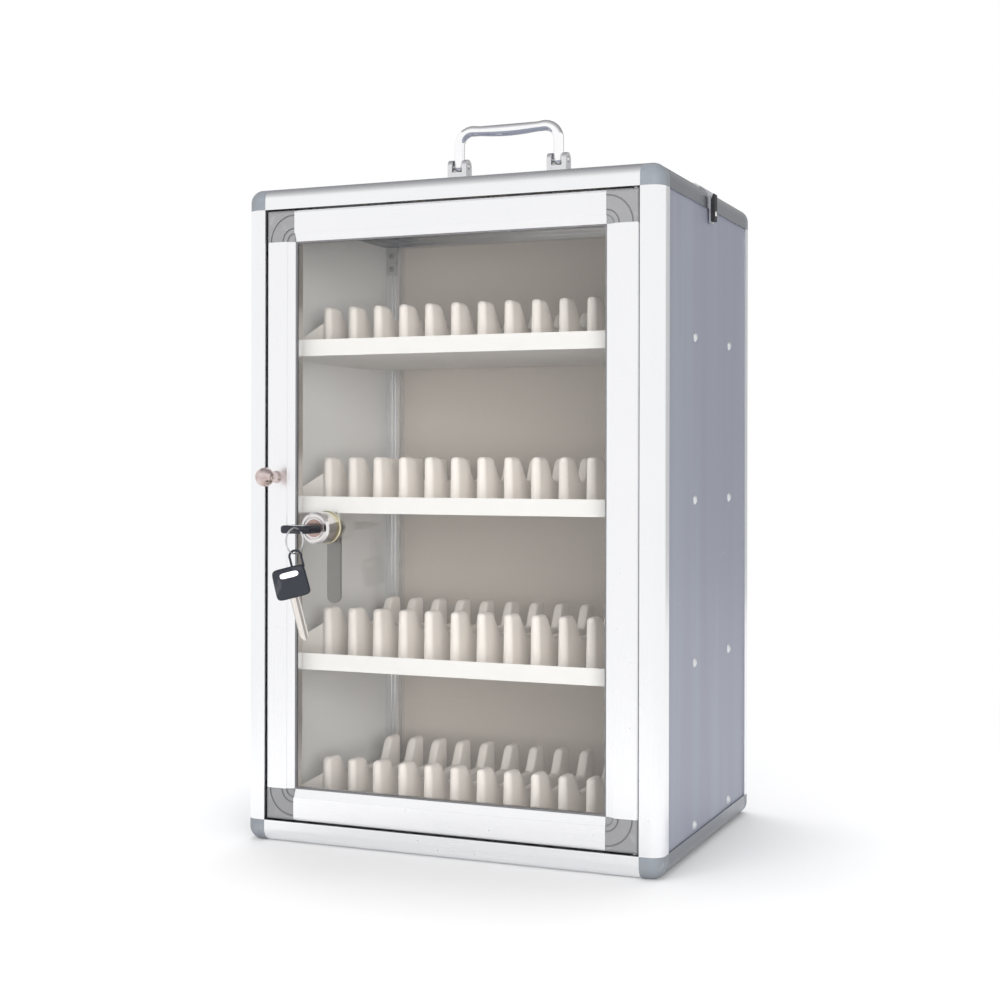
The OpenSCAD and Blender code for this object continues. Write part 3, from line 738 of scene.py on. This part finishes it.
def skin(rows: int, columns: int, start: int = 0, flip: bool = False) -> Faces:
    """Faces of a grid whose rows are closed loops: each is joined to the next and the ends are closed.

    Args:
        rows: Number of loops.
        columns: Points in a loop.
        start: Number of the first point.
        flip: True to turn every face over.

    Returns:
        The faces.
    """
    i, j = np.meshgrid(np.arange(rows - 1), np.arange(columns), indexing="ij")
    k = (j + 1) % columns
    row, next_row = i * columns, (i + 1) * columns
    quads = np.stack([row + j, row + k, next_row + k, next_row + j], -1)
    faces = (quads.reshape(-1, 4) + start).tolist()
    last = start + (rows - 1) * columns
    faces += [list(range(start + columns - 1, start - 1, -1)), list(range(last, last + columns))]
    return [face[::-1] for face in faces] if flip else faces


def sweep(path: np.ndarray, side: np.ndarray, radius: np.ndarray, columns: int,
          flat: float = 1.0) -> np.ndarray:
    """Carries a round or flattened profile along a path.

    A point is path + radius * (cos a * side + flat * sin a * up), where up is at right angles to the
    path and to side.

    Args:
        path: Middle of the profile, one row per station.
        side: Unit vector across the path, one for all stations or one per station.
        radius: Radius at each station.
        columns: Points round the profile.
        flat: Height of the profile over its width.

    Returns:
        The points, row by row.
    """
    ahead = np.gradient(path, axis=0)
    ahead /= np.linalg.norm(ahead, axis=1, keepdims=True)
    side = np.broadcast_to(side, path.shape)
    up = np.cross(ahead, side)
    up /= np.linalg.norm(up, axis=1, keepdims=True)
    angle = np.linspace(0, 2 * np.pi, columns, endpoint=False)[None, :, None]
    ring = np.cos(angle) * side[:, None, :] + flat * np.sin(angle) * up[:, None, :]
    return (path[:, None, :] + radius[:, None, None] * ring).reshape(-1, 3)


def smoothstep(t: np.ndarray) -> np.ndarray:
    """Smooth rise from 0 to 1: t * t * (3 - 2 t) with t kept from 0 to 1."""
    t = np.clip(t, 0.0, 1.0)
    return t * t * (3 - 2 * t)


def dress(finish: Finish, *nodes: str) -> None:
    """Gives the named solids a finish.

    Args:
        finish: The finish.
        *nodes: Names of the solids' nodes.
    """
    for name in nodes:
        slots = frame["nodes"][name].data.materials
        slots.clear()
        slots.append(material(finish))
    LOG.info("dressed %s as %s", ", ".join(nodes), finish.name)


def settle(piece: bpy.types.Object, body: str, slot: str, *stands_for: str) -> None:
    """Lets a new piece ride on a body and stand for solids.

    Args:
        piece: The new piece.
        body: The body that carries it.
        slot: The record's material slot; not used.
        *stands_for: Nodes that it replaces.
    """
    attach(piece, body)
    if stands_for:
        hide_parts(*stands_for)
    LOG.info("piece %s on %s: %d faces", piece.name, body, len(piece.data.polygons))


# ---- case


@dataclass
class Case:
    """The outer case: bars, corner blocks, panels, trays and small fittings."""

    bar_colour: Colour = (0.94, 0.945, 0.96)
    # painted shade: the side rails are the same anodised bars, given a darker colour for the shade on the
    # case's side
    side_rail_shade_colour: Colour = (0.25, 0.265, 0.295)
    cap_colour: Colour = (0.165, 0.18, 0.20)
    panel_colour: Colour = (0.26, 0.285, 0.335)
    wall_colour: Colour = (0.93, 0.925, 0.915)
    back_colour: Colour = (0.68, 0.615, 0.555)
    tray_colour: Colour = (0.82, 0.805, 0.79)
    zinc: Colour = (0.68, 0.69, 0.71)
    plate_colour: Colour = (0.70, 0.71, 0.73)
    washer_colour: Colour = (0.03, 0.03, 0.03)
    rubber: Colour = (0.012, 0.012, 0.014)
    steel: Colour = (0.8, 0.8, 0.8)
    screw_inset: float = 6.0 * MM
    pad_screw_out: float = 1.25 * MM
    pad_screw_up: float = 7.0 * MM

    def build(self) -> None:
        """Dresses every solid of the case."""
        self.bars()
        self.panels()
        self.fittings()

    def bars(self) -> None:
        """Bars by the direction they were extruded in, side rails in a darker copy as painted shade, and
        the corner blocks.
        """
        groups = {
            Axis.Z: ("post_front_left", "post_front_right", "post_rear_left", "post_rear_right"),
            Axis.X: ("rail_front_top", "rail_front_bottom", "rail_rear_top", "rail_rear_bottom"),
            Axis.Y: ("rail_left_top", "rail_left_bottom", "rail_right_top", "rail_right_bottom"),
        }
        for along, nodes in groups.items():
            # painted shade: bars along Y take the darker side rail colour
            colour = self.side_rail_shade_colour if along is Axis.Y else self.bar_colour
            dress(Extrusion(f"anodised_bar_{along.name.lower()}", colour, along), *nodes)
        caps = Moulded("corner_block_grey", self.cap_colour, 0.4, wear=0.12)
        dress(caps, "corner_caps_top", "corner_caps_bottom")

    def panels(self) -> None:
        """Coated sheets and the trays.

        A sheet's outer colour starts halfway through the sheet that its row names, so the floor sheet,
        which has none, names the top one.
        """
        sheets = (
            ("side_sheet_silver", self.wall_colour, Axis.X, "side_panel_right", "side_panel_left"),
            ("back_sheet_grey", self.back_colour, Axis.Y, "back_panel", "back_panel"),
            ("top_sheet_silver", self.wall_colour, Axis.Z, "top_panel", "top_panel"),
            ("floor_sheet_silver", self.wall_colour, Axis.Z, "top_panel", "bottom_panel"),
        )
        for name, inner, across, outer, node in sheets:
            split = (edge(outer, across, 0) + edge(outer, across, 1)) / 2
            nodes = (node, outer) if across is Axis.X else (node,)
            dress(Panel(name, self.panel_colour, inner, across, split), *nodes)
        dress(PowderCoat("tray_powder_white", self.tray_colour), "tray_1", "tray_2", "tray_3", "tray_4")

    def fittings(self) -> None:
        """Rivets, hinge parts, plates over the top edges and their pads."""
        dress(Brushed("zinc_steel", self.zinc, Axis.Z), "tray_rivets", "hinge_pins")
        low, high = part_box("rear_brackets")
        middle, quarter = (low.z + high.z) / 2, (high.z - low.z) / 4
        plate = ScrewedPlate("bracket_zinc", self.zinc, high.x - self.screw_inset, middle, quarter)
        dress(plate, "rear_brackets")
        dress(Moulded("washer_nylon", self.washer_colour), "hinge_washers")
        dress(Brushed("edge_plate_steel", self.plate_colour, Axis.Y, 0.34), "edge_plates")
        low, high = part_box("edge_pads")
        reach, screw_z = high.x - self.pad_screw_out, low.z + self.pad_screw_up
        dress(PadWithScrew("pad_rubber", self.rubber, self.steel, reach, screw_z), "edge_pads")


@dataclass
class Dividers:
    """Moulded two-horned dividers that stand on a tray, with a web at each end of the row."""

    count: int = 13
    pitch: float = 26.9 * MM
    thick: float = 10.0 * MM
    length: float = edge("dividers_1", Axis.Y, 1) - edge("dividers_1", Axis.Y, 0)
    nose_y: float = edge("dividers_1", Axis.Y, 0)
    horn: float = 36.5 * MM
    horn_length: float = 20.0 * MM
    horn_fall: float = 23.0 * MM
    saddle: float = 14.0 * MM
    foot: float = 13.5 * MM
    draft: float = 0.8 * MM
    crown: float = 3.7 * MM
    web: float = 2.4 * MM
    web_high: float = 21.5 * MM
    web_low: float = 5.0 * MM
    web_inset: float = 1.4 * MM
    web_back: float = 3.0 * MM
    end_round: float = 4.5 * MM
    plan_round: float = 4.8 * MM
    plan_share: float = 0.9
    crown_share: float = 0.7
    stations: int = 45
    crowding: float = 0.6
    web_draw: float = 0.975
    rear_fall: float = 0.6
    rear_horn: float = 0.955
    nose_drop: float = 0.9 * MM
    lip_high: float = 15.0 * MM
    flange_x: float = 193.5 * MM
    web_floor: float = 22.3 * MM  # no web starts lower, to stay clear of the bottom bars
    colour: Colour = (0.95, 0.895, 0.845)

    def build(self) -> None:
        """Makes one piece for each tray's row of dividers."""
        finish = Moulded("divider_ivory", self.colour, 0.5, 1300.0, 0.00003, (0.9, 0.88, 0.84), 0.2)
        for tray in range(1, 5):
            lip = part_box(f"tray_{tray}")[0].z + self.lip_high
            points, faces = self.row(lip)
            piece = mesh_piece(f"divider_row_{tray}", points, faces, finish, 50.0)
            settle(piece, "case", "divider", f"dividers_{tray}")

    def profile(self, y: np.ndarray) -> np.ndarray:
        """Height over the tray at a distance from the nose: two horns with a saddle between.

        Height is the saddle plus a smooth bump at each end, less a slight crown on the front horn and a
        quarter-round at the very ends.

        Args:
            y: Distances from the nose in metres.

        Returns:
            Heights over the tray's floor.
        """
        front = 1 - smoothstep((y - self.horn_length) / self.horn_fall)
        rear = self.horn_fall * self.rear_fall
        back = smoothstep((y - (self.length - self.horn_length - rear)) / rear)
        high = self.saddle + (self.horn - self.saddle) * np.maximum(front, back * self.rear_horn)
        crown = 1 - ((y - self.horn_length * 0.5) / (self.horn_length * 1.2)) ** 2
        high = high - self.nose_drop * (1 - np.clip(crown, 0, 1)) * front
        past = np.clip(self.end_round - np.minimum(y, self.length - y), 0, self.end_round)
        fall = self.end_round - np.sqrt(np.clip(self.end_round**2 - past**2, 0, None))
        return self.foot + high - fall

    def row(self, lip: float) -> Mesh:
        """All dividers and webs of one tray.

        Each divider is a grid of sections along its length, closer together at its ends. A section rises
        with a slight draft, turns over a round crown and comes down again. In plan both ends are
        quarter-rounds of plan_round.

        Args:
            lip: Height of the tray's lip in metres.

        Returns:
            Points and faces.
        """
        t = np.linspace(0, 1, self.stations)
        crowded = self.length * (0.5 - 0.5 * np.cos(np.pi * t))
        y = crowded * self.crowding + self.length * t * (1 - self.crowding)
        past = np.clip(self.plan_round - np.minimum(y, self.length - y), 0, self.plan_round)
        drawn_in = self.plan_round - np.sqrt(self.plan_round**2 - past**2)
        half = self.thick / 2 - drawn_in * self.plan_share
        top = self.profile(y)
        crown = np.minimum(self.crown, half * self.crown_share)
        lean = half * (1 - self.draft / (self.thick / 2) * top / (self.foot + self.horn))
        arc = np.linspace(0, np.pi / 2, 6)
        rise = np.linspace(0, 1, 4)[:-1]
        side_x = half[:, None] + (lean - half)[:, None] * rise
        side_z = (top - crown)[:, None] * rise
        arc_x = (lean - crown)[:, None] + crown[:, None] * np.cos(arc)
        arc_z = (top - crown)[:, None] + crown[:, None] * np.sin(arc)
        right_x, right_z = np.hstack([side_x, arc_x]), np.hstack([side_z, arc_z])
        section_x = np.hstack([right_x, -right_x[:, ::-1]])
        section_z = np.hstack([right_z, right_z[:, ::-1]])
        rows, columns = section_x.shape
        along = np.broadcast_to(y[:, None], section_x.shape)
        one = np.stack([section_x, along, section_z], -1).reshape(-1, 3)
        first = -(self.count - 1) / 2 * self.pitch
        base = np.array([0, self.nose_y, lip - self.foot])
        points, faces = [], []
        for i in range(self.count):
            faces += skin(rows, columns, i * rows * columns, flip=True)
            points.append(one + base + [first + i * self.pitch, 0, 0])
        start = self.count * rows * columns
        for sign in (-1, 1):
            web_points, web_faces = self.end_web(sign, lip, start)
            points.append(web_points)
            faces += web_faces
            start += len(web_points)
        return np.vstack(points), faces

    def end_web(self, sign: int, lip: float, start: int) -> Mesh:
        """Web that slopes from the last divider down to the tray's side flange.

        Its outline is carried through the web's thickness, with its rim drawn in at both faces. The top
        edge is a straight line from web_high at the divider to web_low at the flange.

        Args:
            sign: -1 for the left end, 1 for the right one.
            lip: Height of the tray's lip in metres.
            start: Number of its first point.

        Returns:
            Points and faces.
        """
        inner = (self.count - 1) / 2 * self.pitch + self.thick / 2 - self.web_inset
        low = max(lip - self.foot, self.web_floor)
        t = np.linspace(0, 1, 9)
        x = inner + (self.flange_x - inner) * t
        z = lip + self.web_high + (self.web_low - self.web_high) * t
        outline = np.vstack([np.stack([x, z], -1), [[self.flange_x, low], [inner, low]]])
        middle = outline.mean(0)
        depth = np.array([0.0, 0.25, 0.75, 1.0])
        draw = np.array([self.web_draw, 1.0, 1.0, self.web_draw])
        ring = middle + (outline - middle)[None] * draw[:, None, None]
        y = np.broadcast_to((self.nose_y + self.web_back + depth * self.web)[:, None], ring.shape[:2])
        points = np.stack([sign * ring[..., 0], y, ring[..., 1]], -1)
        return points.reshape(-1, 3), skin(len(depth), len(outline), start, flip=sign < 0)


# ---- handle


@dataclass
class Handle:
    """Chrome carrying handle: a bar that swells under the palm, on two round legs."""

    half: float = 51.5 * MM
    pivot_z: float = PIVOTS["handle_fold"][2]
    top_z: float = 670.0 * MM
    bend: float = 14.0 * MM
    leg: float = 5.0 * MM
    grip: float = 5.6 * MM
    neck: float = 4.2 * MM
    blend: float = 0.12
    columns: int = 28
    chrome: Colour = (0.97, 0.97, 0.98)
    worn_chrome: Colour = (0.8, 0.8, 0.82)
    nickel: Colour = (0.74, 0.74, 0.76)
    pin_colour: Colour = (0.7, 0.7, 0.71)

    def build(self) -> None:
        """Makes the bar and dresses its brackets and pins."""
        finish = Polished("handle_chrome", self.chrome, 0.05, self.worn_chrome)
        path, radius = self.centre_line()
        points = sweep(path, np.array([0.0, 1.0, 0.0]), radius, self.columns)
        bar = mesh_piece("handle_bar", points, skin(len(path), self.columns), finish, 60.0)
        settle(bar, "handle", "bail", "handle_bail")
        nickel = Brushed("bracket_nickel", self.nickel, Axis.Z, 0.26)
        dress(nickel, "handle_bracket_left", "handle_bracket_right")
        dress(Polished("pin_steel", self.pin_colour, 0.16), "handle_pins")

    def centre_line(self) -> tuple[np.ndarray, np.ndarray]:
        """Middle line of the bar with its radius: leg, bend, grip, bend, leg.

        The legs end in a half ball. The grip's radius is neck + (grip - neck) * sin(pi t), and its
        middle line drops by the same amount, so its upper side stays straight.

        Returns:
            Points of the line and the radius at each.
        """
        tip = np.linspace(0.02, np.pi / 2, 8)
        ball_z = self.pivot_z - self.leg * np.cos(tip)
        ball_r = self.leg * np.sin(tip)
        leg_z = np.linspace(self.pivot_z, self.top_z - self.bend, 7)[1:]
        turn = np.linspace(0, np.pi / 2, 13)[1:]
        bend_x = -self.half + self.bend * (1 - np.cos(turn))
        bend_z = self.top_z - self.bend + self.bend * np.sin(turn)
        t = np.linspace(0, 0.5, 17)[1:]
        reach = self.half - self.bend
        grip_r = self.neck + (self.grip - self.neck) * np.sin(np.pi * t)
        grip_r = grip_r + (self.leg - self.neck) * (1 - smoothstep(t / self.blend))
        grip_x = -reach + 2 * reach * t
        grip_z = self.top_z - np.maximum(grip_r - self.neck, 0) * smoothstep(t / self.blend)
        x = np.concatenate([np.full(len(ball_z) + len(leg_z), -self.half), bend_x, grip_x])
        z = np.concatenate([ball_z, leg_z, bend_z, grip_z])
        r = np.concatenate([ball_r, np.full(len(leg_z) + len(bend_x), self.leg), grip_r])
        x, z, r = (np.concatenate([v, s * v[-2::-1]]) for v, s in ((x, -1), (z, 1), (r, 1)))
        return np.stack([x, np.zeros_like(x), z], -1), r


# ---- door


@dataclass
class Door:
    """Framed glass door with its corner pieces, knob and lock."""

    profile_colour: Colour = (0.95, 0.95, 0.965)
    corner_colour: Colour = (0.18, 0.18, 0.187)
    glass_tint: Colour = (0.985, 0.985, 0.978)
    seal_colour: Colour = (0.11, 0.11, 0.115)
    knob_colour: Colour = (0.69, 0.585, 0.565)
    knob_worn: Colour = (0.36, 0.25, 0.22)
    screw_colour: Colour = (0.72, 0.72, 0.74)
    lock_colour: Colour = (0.86, 0.83, 0.82)
    lock_brass: Colour = (0.78, 0.72, 0.5)
    plug_colour: Colour = (0.50, 0.36, 0.33)
    plug_brass: Colour = (0.7, 0.6, 0.4)
    nut_colour: Colour = (0.7, 0.7, 0.7)
    cam_colour: Colour = (0.27, 0.26, 0.25)
    glass_y: float = edge("door_glass", Axis.Y, 0)

    def build(self) -> None:
        """Dresses every solid of the door."""
        for name, along, nodes in (
            ("door_stile_satin", Axis.Z, ("door_stile_left", "door_stile_right")),
            ("door_rail_satin", Axis.X, ("door_rail_top", "door_rail_bottom")),
        ):
            dress(Extrusion(name, self.profile_colour, along), *nodes)
        corners = [f"door_corner_{end}_{side}" for end in ("top", "bottom") for side in ("left", "right")]
        dress(PressedCorner("door_corner_grey", self.corner_colour, 0.42, wear=0.1), *corners)
        dress(Pane("float_glass", self.glass_tint), "door_glass")
        dress(Moulded("seal_rubber", self.seal_colour, 0.6), "glass_seal")
        dress(Polished("knob_nickel", self.knob_colour, 0.08, self.knob_worn, 0.5), "door_knob")
        dress(Polished("screw_steel", self.screw_colour, 0.2), "knob_screw", "cam_screw")
        for name, colour, brass, node in (
            ("lock_nickel", self.lock_colour, self.lock_brass, "lock_body"),
            ("plug_nickel", self.plug_colour, self.plug_brass, "lock_plug"),
        ):
            dress(CamLockFace(name, colour, brass, LOCK_X, LOCK_Z, self.glass_y), node)
        dress(Brushed("nut_zinc", self.nut_colour, Axis.Y), "lock_nut")
        dress(Brushed("cam_zinc", self.cam_colour, Axis.Z, 0.4), "lock_cam")


# ---- keys


@dataclass
class Keys:
    """Two keys on a split ring: one in the lock, one hanging."""

    shoulder_y: float = edge("key_bow", Axis.Y, 1)
    bow_width: float = 30.0 * MM
    bow_length: float = 27.0 * MM
    eye_off: float = 9.0 * MM
    eye_mid: float = 34.5 * MM
    ring_low: Vec = tuple(PIVOTS["spare_key_swing"])
    ring_radius: float = 11.0 * MM
    ring_turn: float = 12.0
    spare_turn: float = 30.0
    spare_tilt: float = math.degrees(math.atan2(9.0, 36.0))
    hang_point: float = 36.9 * MM
    loop_radius: float = 5.0 * MM
    loop_wire: float = 1.0 * MM
    tag_half: tuple[float, float] = (8.0 * MM, 2.4 * MM)
    tag_off: float = 20.5 * MM
    tag_points: int = 40
    coil_half: float = 0.42 * MM
    wire: float = 0.62 * MM
    bow_square: float = 0.28
    bow_taper: float = 0.05
    tag_square: tuple[float, float] = (0.4, 0.7)
    coil_ends: tuple[float, float] = (0.35 * math.pi, 4.3 * math.pi)
    black: Colour = (0.009, 0.011, 0.018)
    worn_black: Colour = (0.12, 0.12, 0.13)
    white: Colour = (0.88, 0.88, 0.87)
    blade_colour: Colour = (0.80, 0.75, 0.71)
    ring_colour: Colour = (0.72, 0.72, 0.74)

    def build(self) -> None:
        """Makes bows, tags and the ring, and dresses the blades."""
        black = Moulded("bow_black", self.black, 0.34, 1900.0, 0.00004, self.worn_black, 0.35)
        white = Moulded("tag_white", self.white, 0.4)
        for key, where, flip in (("key", self.in_lock, True), ("spare_key", self.hanging, False)):
            for part, form, finish in (("grip", self.bow, black), ("tag", self.tag, white)):
                points, faces = form()
                faces = [face[::-1] for face in faces] if flip else faces
                piece = mesh_piece(f"{key}_{part}", where(points), faces, finish)
                settle(piece, key, "bow", *([f"{key}_bow"] if part == "grip" else []))
            start, end = where(np.array([[0.0, 0.0, 0.0], [1.0, 0.0, 0.0]])).tolist()
            across = tuple(b - a for a, b in zip(start, end))
            dress(KeyBlade(f"{key}_nickel", self.blade_colour, tuple(start), across), f"{key}_blade")
        self.split_ring()

    def in_lock(self, points: np.ndarray) -> np.ndarray:
        """Places a key's points in the lock: the bow points to the front, the key lies flat."""
        return points * [1, -1, 1] + [LOCK_X, self.shoulder_y, LOCK_Z]

    def hanging(self, points: np.ndarray) -> np.ndarray:
        """Places a key's points under the ring: turned about its hanging point, stood up and turned.

        Args:
            points: Points in the key's own plane.

        Returns:
            Points in the row frame.
        """
        tilt, turn = math.radians(self.spare_tilt), math.radians(self.spare_turn)
        x = points[:, 0] - self.eye_off
        y = points[:, 1] - self.hang_point
        flat_x = x * math.cos(tilt) - y * math.sin(tilt)
        up = x * math.sin(tilt) + y * math.cos(tilt)
        out = -points[:, 2]
        placed_x = flat_x * math.cos(turn) - out * math.sin(turn)
        placed_y = flat_x * math.sin(turn) + out * math.cos(turn)
        return np.stack([placed_x, placed_y, up], -1) + self.ring_low

    def bow(self) -> Mesh:
        """Bow of a key: a pillow with a bevelled rim, and a loop for the ring.

        The outline is a superellipse, x = w sgn(c) |c|^0.28 and y the same along the bow, drawn in by a
        list of shares from the middle of one face over the rim to the middle of the other. The loop is a
        round wire carried along an arc of a circle whose ends run straight into the bow.

        Returns:
            Points and faces.
        """
        angle = np.linspace(0, 2 * np.pi, 56, endpoint=False)
        c, s = np.cos(angle), np.sin(angle)
        x = self.bow_width / 2 * np.sign(c) * np.abs(c) ** self.bow_square
        y = self.bow_length / 2 * np.sign(s) * np.abs(s) ** self.bow_square
        x = x * (1 - self.bow_taper * (y / self.bow_length + 0.5))
        share = np.array([0.02, 0.5, 0.86, 0.9, 0.965, 1.0, 1.0, 0.965, 0.9, 0.86, 0.5, 0.02])
        high = np.array([-3.35, -3.35, -3.4, -3.5, -2.9, -1.7, 1.7, 2.9, 3.5, 3.4, 3.35, 3.35]) * MM
        x, y = x * share[:, None], y * share[:, None] + self.bow_length / 2
        points = np.stack([x, y, np.broadcast_to(high[:, None], x.shape)], -1).reshape(-1, 3)
        faces = skin(len(share), len(angle))
        turn = np.linspace(-0.35 * np.pi, 1.35 * np.pi, 37)[6:-6]
        foot = [self.bow_length - 3 * MM - self.eye_mid]
        loop_x = np.concatenate([[self.loop_radius], self.loop_radius * np.cos(turn), [-self.loop_radius]])
        loop_y = np.concatenate([foot, self.loop_radius * np.sin(turn), foot])
        path = np.stack([loop_x + self.eye_off, loop_y + self.eye_mid, np.zeros_like(loop_x)], -1)
        loop = sweep(path, np.array([0.0, 0.0, 1.0]), np.full(len(path), self.loop_wire), 12)
        faces += skin(len(path), 12, len(points))
        return np.vstack([points, loop]), faces

    def tag(self) -> Mesh:
        """Two blank white tags with round ends, let into both faces near the eyelet.

        The outline is a superellipse, x = w sgn(c) |c|^0.4 and y = h sgn(s) |s|^0.7, carried out of the
        bow's face with its rim drawn in.

        Returns:
            Points and faces.
        """
        angle = np.linspace(0, 2 * np.pi, self.tag_points, endpoint=False)
        c, s = np.cos(angle), np.sin(angle)
        x = self.tag_half[0] * np.sign(c) * np.abs(c) ** self.tag_square[0]
        y = self.tag_half[1] * np.sign(s) * np.abs(s) ** self.tag_square[1]
        rows = ((1.0, 3.2), (1.0, 3.5), (0.94, 3.58), (0.02, 3.58))
        points, faces = [], []
        for sign in (-1, 1):
            faces += skin(len(rows), self.tag_points, len(points) * self.tag_points, flip=sign < 0)
            for k, z in rows:
                points.append(np.stack([x * k, y * k + self.tag_off, np.full_like(x, sign * z * MM)], -1))
        return np.vstack(points), faces

    def split_ring(self) -> None:
        """Split ring: flattened wire in two turns, side by side, that part at the ends.

        The middle line is R (side cos a + up sin a) + axis * offset(a), where the offset crosses from
        one side to the other halfway round.
        """
        turn = math.radians(self.ring_turn)
        axis = np.array([math.cos(turn), -math.sin(turn), 0.0])
        side = np.array([math.sin(turn), math.cos(turn), 0.0])
        up = np.array([0.0, 0.0, 1.0])
        angle = np.linspace(*self.coil_ends, 150)
        share = (angle - angle[0]) / (angle[-1] - angle[0])
        offset = self.coil_half * (2 * smoothstep((share - 0.42) / 0.16) - 1)
        circle = np.cos(angle)[:, None] * side + np.sin(angle)[:, None] * up
        centre = np.array(self.ring_low) + [0, 0, self.ring_radius]
        path = centre + self.ring_radius * circle + offset[:, None] * axis
        end = np.clip(np.minimum(share, 1 - share) / 0.006, 0, 1)
        radius = self.wire * np.sqrt(1 - (1 - end) ** 2) + 0.02 * MM
        points = sweep(path, axis, radius * 0.66, 10, 1.5)
        steel = Polished("ring_steel", self.ring_colour, 0.14)
        ring = mesh_piece("split_ring", points, skin(len(path), 10), steel, 60.0)
        settle(ring, "ring", "ring", "key_ring")


# ---- studio


@dataclass
class Studio:
    """Camera at the photograph's place, world, floor, reflector cards and lamps."""

    camera_place: Vec = (0.5906, -1.4382, 0.3487)
    yaw: float = 22.609
    pitch: float = -0.023
    roll: float = -0.112
    lens: float = 58.18
    shift: float = -0.037
    ambient: float = 0.86
    floor_half: float = 14.0
    cards_y: float = 2.2
    lamps: tuple[tuple[str, Vec, Vec, float, float], ...] = (
        ("key", (-1.0, -2.6, 1.5), (0.0, 0.0, 0.3), 1.6, 27.0),
        ("low", (0.2, -1.7, 0.10), (0.0, 0.0, 0.45), 0.8, 11.0),
        ("fill", (1.5, -2.2, 0.35), (0.0, 0.0, 0.3), 1.4, 58.0),
        ("top", (-0.2, 0.5, 2.6), (0.0, 0.0, 0.3), 1.4, 30.0),
    )

    def build(self) -> None:
        """Sets up everything that isn't part of the object."""
        self.camera()
        self.world()
        self.floor()
        self.cards()
        for lamp in self.lamps:
            self.lamp(*lamp)
        bpy.context.scene.view_settings.view_transform = "Standard"

    def camera(self) -> None:
        """Camera at the place, turn and lens that the photograph's edges give."""
        data = bpy.data.cameras.new("camera")
        data.lens, data.sensor_width, data.shift_y = self.lens, 36.0, self.shift
        camera = bpy.data.objects.new("camera", data)
        camera.location = self.camera_place
        camera.rotation_euler = [math.radians(v) for v in (90 + self.pitch, self.roll, self.yaw)]
        bpy.context.scene.collection.objects.link(camera)
        bpy.context.scene.camera = camera

    def world(self) -> None:
        """World that is plain white to the rays that see it and a soft ambient light to the rest."""
        world = bpy.data.worlds.new("studio")
        bpy.context.scene.world = world
        world.use_nodes = True
        g = Graph(world.node_tree)
        strength = g.white_rays() * (1 - self.ambient) + self.ambient
        light = g.out("ShaderNodeBackground", None, {"Color": (1.0, 1.0, 1.0), "Strength": strength})
        g.node("ShaderNodeOutputWorld", None, {"Surface": light})

    def sheet(self, name: str, corners: list[Any], finish: Finish) -> bpy.types.Object:
        """Adds a flat sheet to the stage.

        Args:
            name: The sheet's name.
            corners: Its four corners in metres.
            finish: Its surface.

        Returns:
            The sheet.
        """
        made = mesh_piece(name, np.array(corners, float), [[0, 1, 2, 3]], finish)
        return made

    def floor(self) -> None:
        """Pale floor that keeps the object's shadow and fades to the white background."""
        a, finish = self.floor_half, PaleFloor("floor_pale", (0.80, 0.80, 0.805))
        self.sheet("floor", [(-a, -a, 0), (a, -a, 0), (a, a, 0), (-a, a, 0)], finish)

    def cards(self) -> None:
        """Dark and grey cards behind, beside and above the object, seen only in its gloss."""
        black, grey, dim = ((v, v, v * 1.05) for v in (0.02, 0.58, 0.30))
        for name, left, right, low, rise, colour, far in (
            ("card_behind", -1.72, -0.15, 0.02, (0.0, 0.0, 1.96), black, 0.02),
            ("card_beside", -0.15, 2.2, 0.02, (0.0, 0.0, 1.96), grey, 0.58),
            ("card_above", -1.72, 2.2, 1.98, (0.0, -5.2, 0.3), dim, 1.0),
        ):
            a, b = (np.array((x, self.cards_y, low)) for x in (left, right))
            finish = Card(name, colour, (far, far, far), (0.9, self.cards_y + rise[1]))
            card = self.sheet(name, [a, b, b + rise, a + rise], finish)
            for flag in ("camera", "diffuse", "shadow", "transmission"):
                setattr(card, f"visible_{flag}", False)

    def lamp(self, name: str, place: Vec, aim: Vec, size: float, power: float) -> None:
        """One square soft box.

        Args:
            name: The lamp's name.
            place: Where it hangs.
            aim: The point it faces.
            size: Length of its side in metres.
            power: Watts.
        """
        data = bpy.data.lights.new(name, "AREA")
        data.shape, data.size, data.energy = "SQUARE", size, power
        lamp = bpy.data.objects.new(name, data)
        away = np.array(place) - np.array(aim)
        away /= np.linalg.norm(away)
        lamp.location = place
        lamp.visible_glossy = lamp.visible_transmission = False
        lamp.rotation_euler = (math.acos(away[2]), 0.0, math.atan2(away[1], away[0]) + math.pi / 2)
        bpy.context.scene.collection.objects.link(lamp)


def main() -> None:
    """Builds the studio and every sub-assembly in order."""
    logging.basicConfig(level=logging.INFO, format="%(name)s: %(message)s")
    for part in (Studio(), Case(), Dividers(), Handle(), Door(), Keys()):
        part.build()
        LOG.info("built %s", type(part).__name__)


if __name__ == "__main__":
    main()
